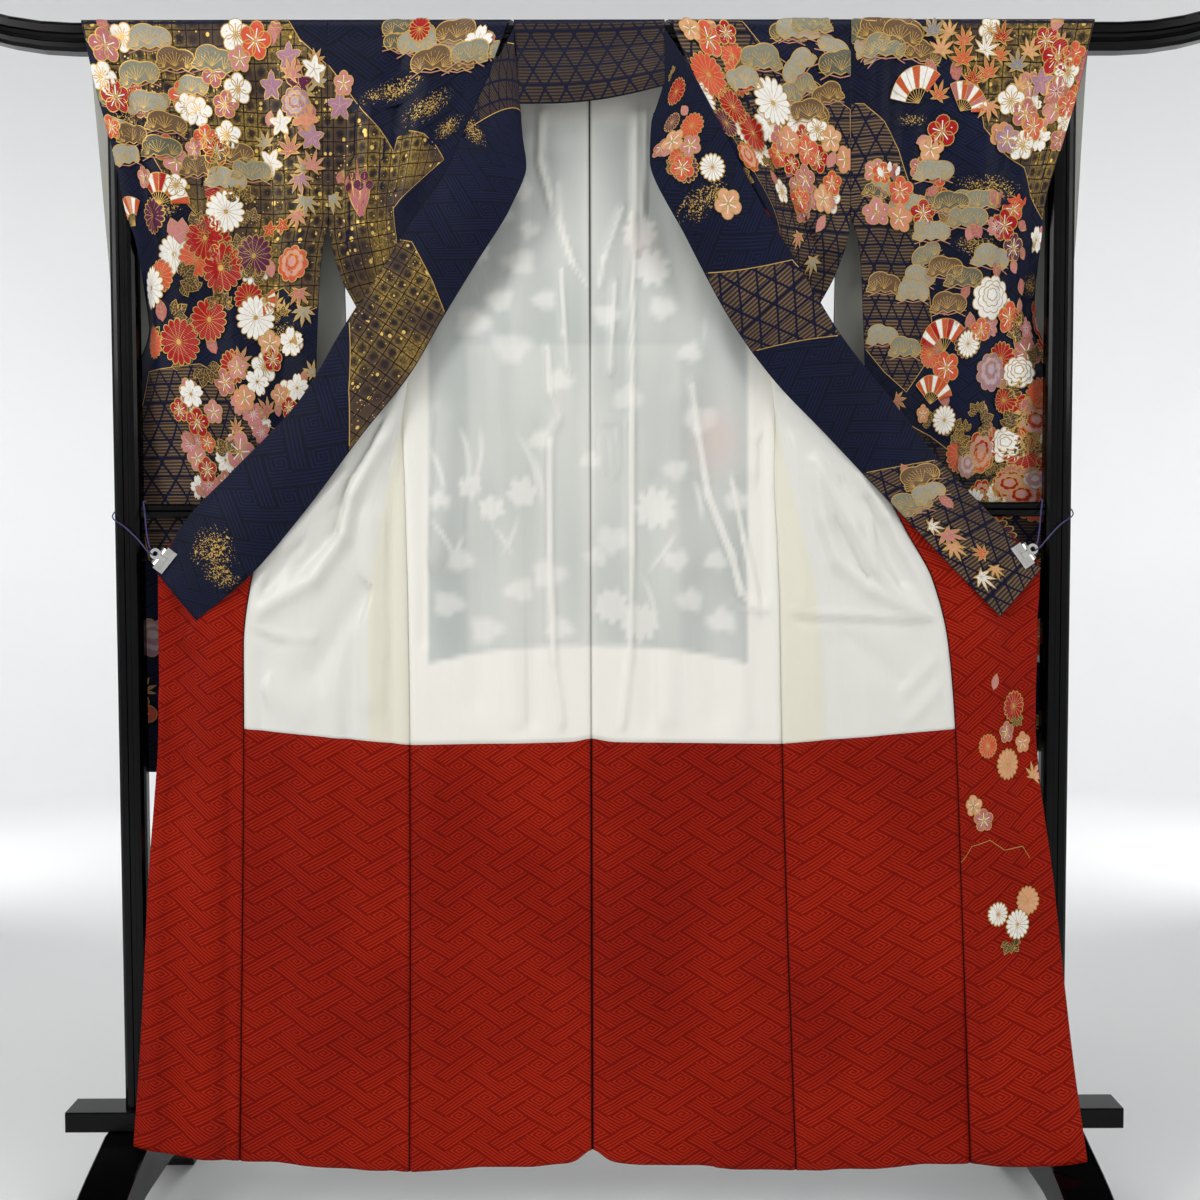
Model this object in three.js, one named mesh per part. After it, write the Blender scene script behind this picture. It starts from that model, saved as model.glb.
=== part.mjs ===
// A furisode kimono hung open on a black lacquered kimono stand.
// Millimetres, +Z up, the viewer at -Y. The origin is on the floor under the middle of the box.
// Each cloth piece is a wall about a middle surface that a table describes. A row of a panel's table is one
// level down its cloth; a row of a collar strip's table is one of its evenly spaced cross lines.
import * as THREE from 'three';
import { mergeVertices } from 'three/addons/utils/BufferGeometryUtils.js';

// ---- driving dimensions ----
const STAND_X = -8;            // middle of the posts, from the middle of the loose top rail
const KIMONO_X = -12;          // centre-back seam
const GAP = 0.3;               // between touching pieces

const RAIL_HALF = 830;
const RAIL_TOP = 1642;
const RAIL_HEIGHT = 39;
const RAIL_DEPTH = 30;
const RAIL_BEND_FROM = 700;    // the rail is straight up to here, then lifts
const RAIL_BEND = 0.00112;     // lift per square millimetre past that point
const RAIL_RAKE = 0.0001;      // the end faces lean in below

const POST_MID = 635;          // post centre from STAND_X
const POST_WIDTH = 37;
const POST_DEPTH = 30;
const CROSSBAR_Z = 988;
const CROSSBAR_HEIGHT = 20;
const CROSSBAR_DEPTH = 20;
const BEAM_HALF = 731;
const BEAM_TOP = 160;
const BEAM_THICK = 28;
const BEAM_DEPTH = 52;
const FOOT_HALF = 228;
const FOOT_WIDTH = 66;
const FOOT_MID = 641;
const FOOT_TOP = BEAM_TOP - BEAM_THICK - GAP;

const CLOTH = 1.2;             // wall of one layer
const LAYER = (CLOTH + GAP) / 2;   // from the middle of a lined panel to the middle of a layer
const COLLAR = 3;              // wall of the doubled collar
const SHOULDER_Z = RAIL_TOP + CLOTH + 2 * GAP;
const BODY_LENGTH = 1545;      // shoulder fold to hem
const HANG = 1.012;            // drop per millimetre of cloth at the side seam
const LINING_LENGTH = 962;     // white body lining, below it the red hem lining
const NECK = 100;              // half the neck opening
const SLEEVE_LENGTH = 1020;
const STRING = 1.8;            // string diameter
const CLIP_WIDTH = 34;

// ---- the way over the rail ----
const RAIL_EDGE_RADIUS = 8;
const FLAT = RAIL_DEPTH / 2 + CLOTH + 2 * GAP - RAIL_EDGE_RADIUS;
const ARC = RAIL_EDGE_RADIUS * Math.PI / 2;
const OVER = FLAT + ARC;       // cloth used from the ridge to the upright drop

// y (unsigned) and z after `level` millimetres of cloth from the ridge of the fold
function overRail(level) {
  if (level <= FLAT) return { y: level, z: SHOULDER_Z };
  if (level <= OVER) {
    const angle = (level - FLAT) / RAIL_EDGE_RADIUS;
    return {
      y: FLAT + RAIL_EDGE_RADIUS * Math.sin(angle),
      z: SHOULDER_Z - RAIL_EDGE_RADIUS * (1 - Math.cos(angle)),
    };
  }
  return { y: FLAT + RAIL_EDGE_RADIUS, z: SHOULDER_Z - RAIL_EDGE_RADIUS - (level - OVER) };
}

// ---- tables of the hung cloth; x from the centre seam, y towards the back ----
const rows = (names, ...lines) => lines.map((line) =>
  Object.fromEntries(names.map((name, i) => [name, line[i]])));

// centre back to side seam: depth of the panel and half width
const BACK = {
  L: rows(['level', 'depth', 'side', 'rise'],
    [0, 17, 349.3, 0], [60, 18, 349.3, 0], [258, 15, 349, 0], [330, 4, 336, 0], [400, -9, 302, 0],
    [450, -12, 273, 0], [500, -12.8, 262, 0], [600, -12.8, 254, 0], [700, -13.5, 251, 2],
    [765, -15, 249.4, 4], [962, -21, 247.4, 8], [1200, -27, 248, 14], [1545, -33, 251.4, 30]),
  R: rows(['level', 'depth', 'side', 'rise'],
    [0, 17, 349.3, 0], [60, 18, 349.3, 0], [258, 15, 347, 0], [330, 4, 330, 0], [400, -9, 296, 0],
    [450, -12, 267, 0], [500, -12.8, 256, 0], [600, -12.8, 251, 0], [700, -13.5, 255, 2],
    [765, -15, 257.4, 4], [962, -21, 260.4, 8], [1200, -27, 267.4, 14], [1545, -33, 280.4, 30]),
};

// front panel: side edge to overlap seam (the collar seam down to the overlap's tip);
// fold is how far the slack between them swings towards the middle, rise is how much higher the seam hangs
const FRONT = {
  L: rows(['level', 'side', 'sideY', 'seam', 'seamY', 'rise', 'fold'],
    [0, 349.6, -17, 101, -17, 0, 0], [70, 349.6, -22, 130, -25, 0, 4], [140, 349.6, -23, 160, -27, 5, 8],
    [215, 349.6, -24, 190, -29, 16, 14], [258, 349.6, -24, 212, -30, 24, 20],
    [330, 342, -20, 240, -30, 35, 32],
    [400, 322, -16, 272, -31, 43, 42], [450, 290, -16, 300, -32, 42, 46], [500, 264, -17, 330, -33, 39, 42],
    [600, 255, -16.2, 385, -34, 30, 22], [700, 252, -17, 435, -35, 26, 8], [765, 250, -18, 458, -35, 24, 0],
    [850, 249, -20, 469, -36, 24, 0], [962, 248, -23, 470, -37, 25, 0], [1200, 249, -28, 474, -41, 24, 0],
    [1545, 252, -34, 482, -45, 22, 0]),
  R: rows(['level', 'side', 'sideY', 'seam', 'seamY', 'rise', 'fold'],
    [0, 349.6, -17, 101, -17, 0, 0], [70, 349.6, -22, 134, -25, 0, 4], [140, 349.6, -23, 174, -27, 0, 8],
    [215, 349.6, -24, 210, -29, 6, 14], [258, 349.6, -24, 232, -30, 9, 20], [330, 338, -20, 258, -30, 22, 32],
    [400, 318, -16, 290, -31, 27, 42], [450, 285, -16, 312, -32, 32, 46], [500, 258, -17, 340, -33, 34, 42],
    [600, 253, -16.2, 375, -34, 25, 22], [700, 256, -17, 425, -35, 26, 8], [765, 258, -18, 462, -35, 24, 0],
    [850, 260, -20, 483, -36, 28, 0], [962, 261, -23, 494, -37, 22, 0], [1200, 268, -28, 504, -41, 20, 0],
    [1545, 281, -34, 518, -45, 14, 0]),
};

// overlap panel: its outer edge is the collar seam down to the collar's end, then the free front edge
const OVERLAP = {
  L: rows(['level', 'edge', 'edgeY', 'rise'],
    [258, 217, -33.6, 20], [330, 256, -33.6, 34], [400, 300, -34, 39], [450, 345, -34, 19],
    [500, 385, -35, 5],
    [600, 465, -37, 21], [700, 545, -38.2, 38], [765, 582, -38.9, 37], [850, 583, -39, 43],
    [962, 583, -41, 45], [1200, 598, -54, 49], [1400, 605, -74, 56], [1545, 612, -92, 64]),
  R: rows(['level', 'edge', 'edgeY', 'rise'],
    [258, 237, -33.6, 5], [330, 273, -33.6, 14], [400, 320, -34, 8], [450, 355, -34, 9], [500, 402, -35, 0],
    [600, 469, -37, 17], [700, 545, -38.2, 39], [765, 606, -38.9, 40], [850, 603, -39, 43],
    [962, 601, -42, 42], [1200, 624, -58, 46], [1400, 641, -86, 44], [1545, 656, -112, 46]),
};

// collar strip: the seam edge and the free edge, from the neck to the square end
const STRIP = {
  L: rows(['seam', 'seamY', 'seamZ', 'free', 'freeY', 'freeZ'],
    [101, -23, 1628, 88, -36, 1500], [130, -28.4, 1572, 85, -38, 1466], [160, -31, 1507, 84, -39, 1436],
    [190, -34.6, 1440, 105, -40.5, 1386], [240, -38, 1366, 150, -42, 1318],
    [285, -38.8, 1298, 196, -42.5, 1244], [327, -39, 1235, 240, -43, 1170],
    [388, -39.6, 1136, 305, -44, 1089], [480, -40.8, 1040, 385, -44.5, 984],
    [545, -41.6, 972, 460, -44.8, 898], [582, -42.3, 905, 530, -45, 841]),
  R: rows(['seam', 'seamY', 'seamZ', 'free', 'freeY', 'freeZ'],
    [101, -23, 1628, 86, -36, 1520], [132, -28.4, 1578, 82, -38, 1486], [170, -32, 1508, 80, -39, 1450],
    [220, -37, 1410, 129, -41, 1348], [277, -38.8, 1315, 190, -42, 1236],
    [335, -39, 1221, 246, -42.6, 1160], [402, -39.6, 1136, 318, -43.4, 1085],
    [469, -40.6, 1052, 388, -44, 1011], [540, -41.6, 978, 462, -44.5, 934],
    [606, -42.3, 908, 551, -45, 843]),
};

// sleeve: the inner edge, the place where the front turns back past the post, and the cuff edge
const SLEEVE_FRONT = {
  L: rows(['level', 'inner', 'innerY', 'turn', 'turnY', 'cuff', 'cuffY'],
    [0, 350.2, -17, 600, -17, 683, -17], [105, 350.2, -21, 590, -22, 655, -23],
    [160, 350.2, -22, 585, -23, 640, -24], [258, 350.2, -20, 580, -22, 620, -23],
    [295, 358, -17, 583, -18, 609.5, -19], [335, 364, -13, 585, -12, 606.5, -4],
    [400, 369, -8, 588, -6, 606, 23], [470, 373, -3, 580, -3, 632, 31],
    [600, 378, 10, 562, 10, 652, 37.6], [646, 379, 15, 560, 15.5, 653, 38.6],
    [700, 380, 19, 560, 20, 653, 39.6],
    [SLEEVE_LENGTH, 376, 37, 555, 38.5, 641, 42.5]),
  R: rows(['level', 'inner', 'innerY', 'turn', 'turnY', 'cuff', 'cuffY'],
    [0, 350.2, -17, 600, -17, 682, -17], [105, 350.2, -21, 590, -22, 652, -24],
    [160, 350.2, -22, 585, -23, 636, -24], [258, 350.2, -20, 578, -22, 611, -22],
    [295, 360, -17, 577, -18, 609, -16], [335, 366, -13, 575, -13, 608, -4],
    [400, 370, -8, 570, -8, 613, 23], [470, 374, -3, 566, -3, 642, 32],
    [600, 378, 10, 560, 10, 664, 37.6], [646, 379, 15, 558, 15.5, 667, 38.6],
    [700, 380, 19, 556, 20, 668, 39.6],
    [SLEEVE_LENGTH, 378, 37, 560, 38.5, 670, 42.5]),
};
const SLEEVE_BACK = {
  L: rows(['level', 'inner', 'innerY', 'cuff', 'cuffY'],
    [0, 350.2, 17, 683, 17], [105, 350.2, 20, 676, 25], [258, 350.2, 24, 668, 34], [330, 338, 28, 664, 37],
    [470, 337, 32, 657, 40.5], [600, 342, 35, 652, 41.4], [700, 350, 37, 653, 43],
    [SLEEVE_LENGTH, 376, 40.6, 641, 46.2]),
  R: rows(['level', 'inner', 'innerY', 'cuff', 'cuffY'],
    [0, 350.2, 17, 682, 17], [105, 350.2, 20, 678, 25], [258, 350.2, 24, 674, 34], [330, 338, 28, 671, 37],
    [470, 337, 32, 666, 40.5], [600, 342, 35, 664, 41.4], [700, 350, 37, 668, 43],
    [SLEEVE_LENGTH, 378, 40.6, 670, 46.2]),
};
const SLEEVE_HANG = { L: 1, R: 0.975 };   // drop per millimetre of cloth

// the largest soft folds of each panel: a ridge of `depth` from (u0, v0) to (u1, v1) across the panel
const FOLD_NAMES = ['u0', 'v0', 'u1', 'v1', 'depth', 'width'];
const FOLDS = {
  back: rows(FOLD_NAMES, [0.12, 0.3, 0.1, 0.62, -2.2, 0.1], [0.72, 0.55, 0.62, 1, -2.4, 0.12]),
  front: rows(FOLD_NAMES, [0.75, 0.5, 0.35, 0.85, -5, 0.12], [0.5, 0.62, 0.6, 1, -4, 0.16]),
  overlap: rows(FOLD_NAMES, [0.5, 0.62, 0.45, 1, -4, 0.2]),
  sleeve: rows(FOLD_NAMES, [0.3, 0.3, 0.34, 1, -4, 0.12], [0.62, 0.35, 0.6, 1, -4, 0.1]),
  plain: [],
};

// ---- materials ----
const paint = (color, roughness, metalness = 0) => ({ color, roughness, metalness });
const FINISH = {
  lacquer: paint(0x0a0a0b, 0.12),
  print: paint(0x1a2048, 0.55),
  white: paint(0xd8d8d2, 0.5),
  red: paint(0xa01c0c, 0.55),
  nickel: paint(0xc8c8c8, 0.2, 1),
  string: paint(0x2b1560, 0.7),
};

const kimonoOnStand = new THREE.Group();

function addMesh(name, geometry, finish) {
  const mesh = new THREE.Mesh(geometry, new THREE.MeshStandardMaterial(FINISH[finish]));
  mesh.name = name;
  kimonoOnStand.add(mesh);
  return mesh;
}

// ---- sheets ----
const mix = (a, b, t) => a + (b - a) * t;
const smooth = (t) => t * t * (3 - 2 * t);
const clamp = (t) => THREE.MathUtils.clamp(t, 0, 1);

// a row of the table at any level, eased between its neighbours
function rowAt(table, key, value) {
  const last = table.length - 1;
  let i = 0;
  while (i < last - 1 && value > table[i + 1][key]) i += 1;
  const above = table[i];
  const below = table[i + 1];
  const t = clamp((value - above[key]) / (below[key] - above[key]));
  return Object.fromEntries(Object.keys(above).map((name) => [name, mix(above[name], below[name], t)]));
}

function foldDepth(folds, u, v) {
  let sum = 0;
  for (const fold of folds) {
    const du = fold.u1 - fold.u0;
    const dv = fold.v1 - fold.v0;
    const along = clamp(((u - fold.u0) * du + (v - fold.v0) * dv) / (du * du + dv * dv));
    const across = Math.hypot(u - fold.u0 - along * du, v - fold.v0 - along * dv) / fold.width;
    sum += fold.depth * Math.exp(-across * across);
  }
  return sum;
}

// wall between two offsets from the middle surface at(u, v); the outside faces `outward` at (probeU, probeV)
function wall(at, us, vs, from, to, outward, probe) {
  const step = 1e-3;
  const normalAt = (u, v) => {
    const across = at(Math.min(u + step, 1), v).sub(at(Math.max(u - step, 0), v));
    const down = at(u, Math.min(v + step, 1)).sub(at(u, Math.max(v - step, 0)));
    return across.cross(down).normalize();
  };
  const sign = Math.sign(normalAt(probe[0], probe[1]).dot(outward));
  const columns = us.length;
  const points = [];
  for (const offset of [from, to]) {
    for (const v of vs) {
      for (const u of us) points.push(at(u, v).addScaledVector(normalAt(u, v), sign * offset));
    }
  }
  const index = (layer, i, j) => (layer * vs.length + j) * columns + i;
  const triangles = [];
  const quad = (a, b, c, d) => (sign > 0
    ? triangles.push(a, b, c, a, c, d)
    : triangles.push(a, c, b, a, d, c));
  for (let j = 0; j < vs.length - 1; j += 1) {
    for (let i = 0; i < columns - 1; i += 1) {
      quad(index(1, i, j), index(1, i + 1, j), index(1, i + 1, j + 1), index(1, i, j + 1));
      quad(index(0, i, j), index(0, i, j + 1), index(0, i + 1, j + 1), index(0, i + 1, j));
    }
  }
  const end = vs.length - 1;
  const last = columns - 1;
  for (let i = 0; i < columns - 1; i += 1) {
    quad(index(0, i, 0), index(0, i + 1, 0), index(1, i + 1, 0), index(1, i, 0));
    quad(index(0, i, end), index(1, i, end), index(1, i + 1, end), index(0, i + 1, end));
  }
  for (let j = 0; j < vs.length - 1; j += 1) {
    quad(index(0, 0, j), index(1, 0, j), index(1, 0, j + 1), index(0, 0, j + 1));
    quad(index(0, last, j), index(0, last, j + 1), index(1, last, j + 1), index(1, last, j));
  }
  const geometry = new THREE.BufferGeometry();
  geometry.setAttribute('position', new THREE.Float32BufferAttribute(points.flatMap((p) => p.toArray()), 3));
  geometry.setIndex(triangles);
  return geometry;
}

const spread = (count, from = 0, to = 1) =>
  Array.from({ length: count + 1 }, (_, i) => mix(from, to, i / count));

// levels as fractions of a panel's length: the turn over the rail, then the table's own rows
const levelsOf = (table, length, from = 0, to = length) => {
  const turn = from === 0 ? [0, FLAT, FLAT + ARC / 2, OVER] : [];
  const inside = table.map((row) => row.level).filter((level) => level > Math.max(from, OVER) && level < to);
  return [...new Set([...turn, from, ...inside, to])].sort((a, b) => a - b).map((level) => level / length);
};

const BACKWARD = new THREE.Vector3(0, 1, 0);
const FORWARD = new THREE.Vector3(0, -1, 0);
const OUTER = [GAP / 2, GAP / 2 + CLOTH];
const INNER = [-GAP / 2 - CLOTH, -GAP / 2];

// ---- body panels ----
const side = { L: -1, R: 1 };

// the drop starts on the ridge of the fold, so the table's depth is eased in past the rail
function hungPoint(x, depth, level, z, facing) {
  const turn = overRail(level);
  if (level <= OVER) return new THREE.Vector3(x, facing * turn.y, turn.z);
  const away = smooth(Math.min((level - OVER) / 30, 1));
  return new THREE.Vector3(x, mix(facing * turn.y, depth, away), z);
}

function backPanel(hand) {
  return (u, v) => {
    const level = v * BODY_LENGTH;
    const row = rowAt(BACK[hand], 'level', level);
    const x = KIMONO_X + side[hand] * mix(0.4, row.side, u);
    const rise = row.rise * (0.55 * Math.exp(-((u * 14) ** 2)) + 0.45 * (1 - u));
    const z = SHOULDER_Z - 2 - level * HANG + rise;
    const calm = smooth(clamp(u * 6)) * smooth(clamp((1 - u) * 6));
    const folds = foldDepth(FOLDS.back, u, v) * calm;
    return hungPoint(x, row.depth + folds, level, z, 1);
  };
}

function frontPanel(hand) {
  return (u, v) => {
    const level = v * BODY_LENGTH;
    const row = rowAt(FRONT[hand], 'level', level);
    const swing = row.fold * Math.sin(Math.PI * u);
    const x = KIMONO_X + side[hand] * (mix(row.side, row.seam, u) - swing);
    const z = SHOULDER_Z - 2 - level * HANG + row.rise * u;
    const folds = foldDepth(FOLDS.front, u, v) * Math.sin(Math.PI * u);
    return hungPoint(x, mix(row.sideY, row.seamY, u) + folds, level, z, -1);
  };
}

function overlapPanel(hand) {
  const top = OVERLAP[hand][0].level;
  return (u, v) => {
    const level = mix(top, BODY_LENGTH, v);
    const seam = rowAt(FRONT[hand], 'level', level);
    const edge = rowAt(OVERLAP[hand], 'level', level);
    const folds = foldDepth(FOLDS.overlap, u, v) * Math.sin(Math.PI * u);
    const proud = 3.4 * (1 - smooth(clamp((level - 330) / 120)));
    const x = side[hand] * mix(seam.seam + 0.6 + 0.6 * v, edge.edge, u);
    const bowed = Math.sin(Math.PI / 2 * u);
    const y = mix(seam.seamY - proud, edge.edgeY, mix(u, bowed, smooth(v))) + folds;
    const z = SHOULDER_Z - 2 - level * HANG + mix(seam.rise, edge.rise, u);
    return new THREE.Vector3(KIMONO_X + x, y, z);
  };
}

function bodyHalf(hand) {
  const back = backPanel(hand);
  const front = frontPanel(hand);
  const overlap = overlapPanel(hand);
  const hemSeam = LINING_LENGTH / BODY_LENGTH;
  const clear = 0.25 / BODY_LENGTH;
  const across = [0, 0.13, 0.26, 0.32, 0.6, 0.8, 1];
  const over = spread(8);
  const levels = (table, from, to) => levelsOf(table, BODY_LENGTH, from, to);
  const upper = (table) => levels(table, 0, LINING_LENGTH - 1).map((v) => Math.min(v, hemSeam - clear));
  const lower = (table) => levels(table, LINING_LENGTH + 1, BODY_LENGTH)
    .map((v) => Math.max(v, hemSeam + clear));
  const low = [0.5, 0.5];
  const onBack = (down, [from, to]) => wall(back, across, down, from, to, BACKWARD, low);
  addMesh(`back_${hand}`, onBack(levels(BACK[hand], 0, BODY_LENGTH), OUTER), 'print');
  addMesh(`back_lining_${hand}`, onBack(upper(BACK[hand]), INNER), 'white');
  addMesh(`back_hem_lining_${hand}`, onBack(lower(BACK[hand]), INNER), 'red');

  const shoulder = [0.5, 0.06];
  const onFront = (down, [from, to]) => wall(front, over, down, from, to, FORWARD, shoulder);
  addMesh(`front_${hand}`, onFront(levels(FRONT[hand], 0, BODY_LENGTH), OUTER), 'print');
  addMesh(`front_lining_${hand}`, onFront(upper(FRONT[hand]), INNER), 'white');
  addMesh(`front_hem_lining_${hand}`, onFront(lower(FRONT[hand]), INNER), 'red');

  const top = OVERLAP[hand][0].level;
  const rowsDown = OVERLAP[hand].map((row) => (row.level - top) / (BODY_LENGTH - top));
  const onOverlap = ([from, to]) => wall(overlap, spread(3), rowsDown, from, to, BACKWARD, low);
  addMesh(`overlap_${hand}`, onOverlap(OUTER), 'print');
  addMesh(`overlap_lining_${hand}`, onOverlap(INNER), 'red');
}

// ---- collar ----
function strip(hand) {
  const table = STRIP[hand].map((row, i) => ({ ...row, at: i / (STRIP[hand].length - 1) }));
  return (u, v) => {
    const row = rowAt(table, 'at', v);
    return new THREE.Vector3(
      KIMONO_X + side[hand] * mix(row.seam, row.free, u),
      mix(row.seamY, row.freeY, u) - 1.5 * Math.sin(Math.PI * u),
      mix(row.seamZ, row.freeZ, u),
    );
  };
}

// the collar round the neck, turned down from the ridge to the front
function neck(u, v) {
  const left = STRIP.L[0];
  const right = STRIP.R[0];
  const length = SHOULDER_Z - mix(left.freeZ, right.freeZ, u) + 12 * Math.sin(Math.PI * u);
  const level = Math.max(v * length, GAP);
  const turn = overRail(level);
  const along = clamp((level - OVER) / (length - OVER));
  const edge = (row) => mix(NECK - 0.4, row.free - 0.9, along);
  const x = KIMONO_X + mix(-edge(left), edge(right), u);
  return new THREE.Vector3(x, -turn.y - 18 * smooth(along), turn.z);
}

function collar() {
  const wallOf = (at, us, vs, probe) => wall(at, us, vs, -COLLAR / 2, COLLAR / 2, FORWARD, probe);
  for (const hand of ['L', 'R']) {
    const crossLines = spread(STRIP[hand].length - 1);
    addMesh(`collar_${hand}`, wallOf(strip(hand), spread(3), crossLines, [0.5, 0.5]), 'print');
  }
  const reach = SHOULDER_Z - STRIP.L[0].freeZ;
  const down = [...[0, FLAT, FLAT + ARC / 2, OVER].map((level) => level / reach), 0.35, 0.65, 1];
  addMesh('collar_neck', wallOf(neck, spread(8), down, [0.5, 0.8]), 'print');
}

// ---- sleeves ----
function sleevePoint(x, depth, level, hand, facing) {
  return hungPoint(x, depth, level, SHOULDER_Z - 2 - level * SLEEVE_HANG[hand], facing);
}

function sleeveFront(hand) {
  return (u, v) => {
    const level = v * SLEEVE_LENGTH;
    const row = rowAt(SLEEVE_FRONT[hand], 'level', level);
    const turnAt = 0.78;
    const t = u < turnAt ? u / turnAt : (u - turnAt) / (1 - turnAt);
    const x = u < turnAt ? mix(row.inner, row.turn, t) : mix(row.turn, row.cuff, t);
    const y = u < turnAt ? mix(row.innerY, row.turnY, t) : mix(row.turnY, row.cuffY, t);
    const calm = Math.sin(Math.PI * u) * (1 - smooth(clamp((v - 0.85) / 0.15)));
    const depth = y + foldDepth(FOLDS.sleeve, u, v) * calm;
    return sleevePoint(KIMONO_X + side[hand] * x, depth, level, hand, -1);
  };
}

function sleeveBack(hand) {
  return (u, v) => {
    const level = v * SLEEVE_LENGTH;
    const row = rowAt(SLEEVE_BACK[hand], 'level', level);
    const x = KIMONO_X + side[hand] * mix(row.inner, row.cuff, u);
    const bag = 5 * Math.sin(Math.PI * u) * Math.sin(Math.PI * v);
    return sleevePoint(x, mix(row.innerY, row.cuffY, u) + bag, level, hand, 1);
  };
}

function sleeve(hand) {
  const frontLevels = levelsOf(SLEEVE_FRONT[hand], SLEEVE_LENGTH);
  const backLevels = levelsOf(SLEEVE_BACK[hand], SLEEVE_LENGTH);
  const across = [0, 0.16, 0.32, 0.5, 0.64, 0.78, 0.9, 1];
  const high = [0.4, 0.1];
  const onFront = ([from, to]) => wall(sleeveFront(hand), across, frontLevels, from, to, FORWARD, high);
  const onBack = ([from, to]) => wall(sleeveBack(hand), spread(5), backLevels, from, to, BACKWARD, high);
  addMesh(`sleeve_front_${hand}`, onFront(OUTER), 'print');
  addMesh(`sleeve_front_lining_${hand}`, onFront(INNER), 'white');
  addMesh(`sleeve_back_${hand}`, onBack(OUTER), 'print');
  addMesh(`sleeve_back_lining_${hand}`, onBack(INNER), 'white');
}

// ---- stand ----
// extrudes an outline given as [across, up] pairs along X, both ends at +-half
function beamOf(outline, half, steps = 1) {
  const shape = new THREE.Shape(outline.map(([y, z]) => new THREE.Vector2(y, z)));
  const geometry = new THREE.ExtrudeGeometry(shape, { depth: 2 * half, bevelEnabled: false, steps });
  geometry.translate(0, 0, -half);
  geometry.rotateY(Math.PI / 2);
  geometry.rotateX(Math.PI / 2);
  return geometry;
}

const mirrored = (half) => [...half, ...half.slice().reverse().map(([y, z]) => [-y, z])];

function rail() {
  const half = RAIL_DEPTH / 2;
  const outline = mirrored([
    [half - 6, 0], [half - 2, -2], [half, -6], [half, -15], [half - 3, -17], [half - 5, -21],
    [half - 4, -26], [half - 2, -28], [half - 2, -34], [half - 5, -RAIL_HEIGHT],
  ]);
  const geometry = beamOf(outline, RAIL_HALF, 40);
  const place = geometry.attributes.position;
  for (let i = 0; i < place.count; i += 1) {
    const x = place.getX(i);
    const z = place.getZ(i);
    const past = Math.max(Math.abs(x) - RAIL_BEND_FROM, 0);
    place.setX(i, x * (1 + RAIL_RAKE * z));
    place.setZ(i, z + RAIL_BEND * past * past);
  }
  addMesh('rail', geometry.translate(0, 0, RAIL_TOP), 'lacquer');
}

// upright of an outline [x, y], from bottom to top
function upright(outline, bottom, top) {
  const shape = new THREE.Shape(outline.map(([x, y]) => new THREE.Vector2(x, y)));
  const geometry = new THREE.ExtrudeGeometry(shape, { depth: top - bottom, bevelEnabled: false, steps: 1 });
  return geometry.translate(0, 0, bottom);
}

function posts() {
  const w = POST_WIDTH / 2;
  const d = POST_DEPTH / 2;
  const quarter = [[w, 0], [w, d - 9], [w - 2, d - 4], [w - 6, d - 1], [w - 11, d], [4, d], [3, d - 1.5]];
  const half = [...quarter, ...quarter.slice().reverse().map(([x, y]) => [-x, y])];
  const outline = [...half, ...half.slice(1, -1).reverse().map(([x, y]) => [x, -y])];
  for (const hand of ['L', 'R']) {
    const body = upright(outline, BEAM_TOP + GAP, RAIL_TOP - RAIL_HEIGHT - GAP);
    addMesh(`post_${hand}`, body, 'lacquer').position.x = STAND_X + side[hand] * POST_MID;
  }
}

function crossbar() {
  const h = CROSSBAR_HEIGHT / 2;
  const d = CROSSBAR_DEPTH / 2;
  const outline = mirrored([
    [d - 3, h], [d - 1, h - 1], [d, h - 3], [d, 1.5], [d - 1.5, 0],
    [d, -1.5], [d, 3 - h], [d - 1, 1 - h], [d - 3, -h],
  ]);
  const half = POST_MID - POST_WIDTH / 2 - GAP;
  addMesh('crossbar', beamOf(outline, half), 'lacquer').position.set(STAND_X, 0, CROSSBAR_Z);
}

function base() {
  const d = BEAM_DEPTH / 2;
  const outline = mirrored([[d - 1.5, 0], [d, -1.5], [d, 1 - BEAM_THICK], [d - 1, -BEAM_THICK]]);
  addMesh('base_beam', beamOf(outline, BEAM_HALF), 'lacquer').position.set(STAND_X, 0, BEAM_TOP);
  for (const hand of ['L', 'R']) {
    const foot = addMesh(`foot_${hand}`, footArch(), 'lacquer');
    foot.position.x = STAND_X + side[hand] * FOOT_MID;
  }
}

// an arched foot running front to back, flat on top under the beam and on the floor under its toes
function footArch() {
  const shape = new THREE.Shape();
  const crown = 60;
  shape.moveTo(-34, FOOT_TOP);
  shape.lineTo(34, FOOT_TOP);
  shape.bezierCurveTo(90, FOOT_TOP - 20, 190, FOOT_TOP - 36, FOOT_HALF - 6, 34);
  shape.quadraticCurveTo(FOOT_HALF, 22, FOOT_HALF, 0);
  shape.lineTo(FOOT_HALF - 62, 0);
  shape.bezierCurveTo(138, 42, 100, crown, 50, crown);
  shape.lineTo(-50, crown);
  shape.bezierCurveTo(-100, crown, -138, 42, 62 - FOOT_HALF, 0);
  shape.lineTo(-FOOT_HALF, 0);
  shape.quadraticCurveTo(-FOOT_HALF, 22, 6 - FOOT_HALF, 34);
  shape.bezierCurveTo(-190, FOOT_TOP - 36, -90, FOOT_TOP - 20, -34, FOOT_TOP);
  const geometry = new THREE.ExtrudeGeometry(shape, {
    depth: FOOT_WIDTH - 4,
    bevelEnabled: true,
    bevelThickness: 2,
    bevelSize: 2,
    bevelOffset: -2,
    bevelSegments: 1,
    curveSegments: 8,
  });
  geometry.translate(0, 0, 2 - FOOT_WIDTH / 2);
  geometry.rotateY(Math.PI / 2);
  return geometry.rotateX(Math.PI / 2);
}

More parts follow.
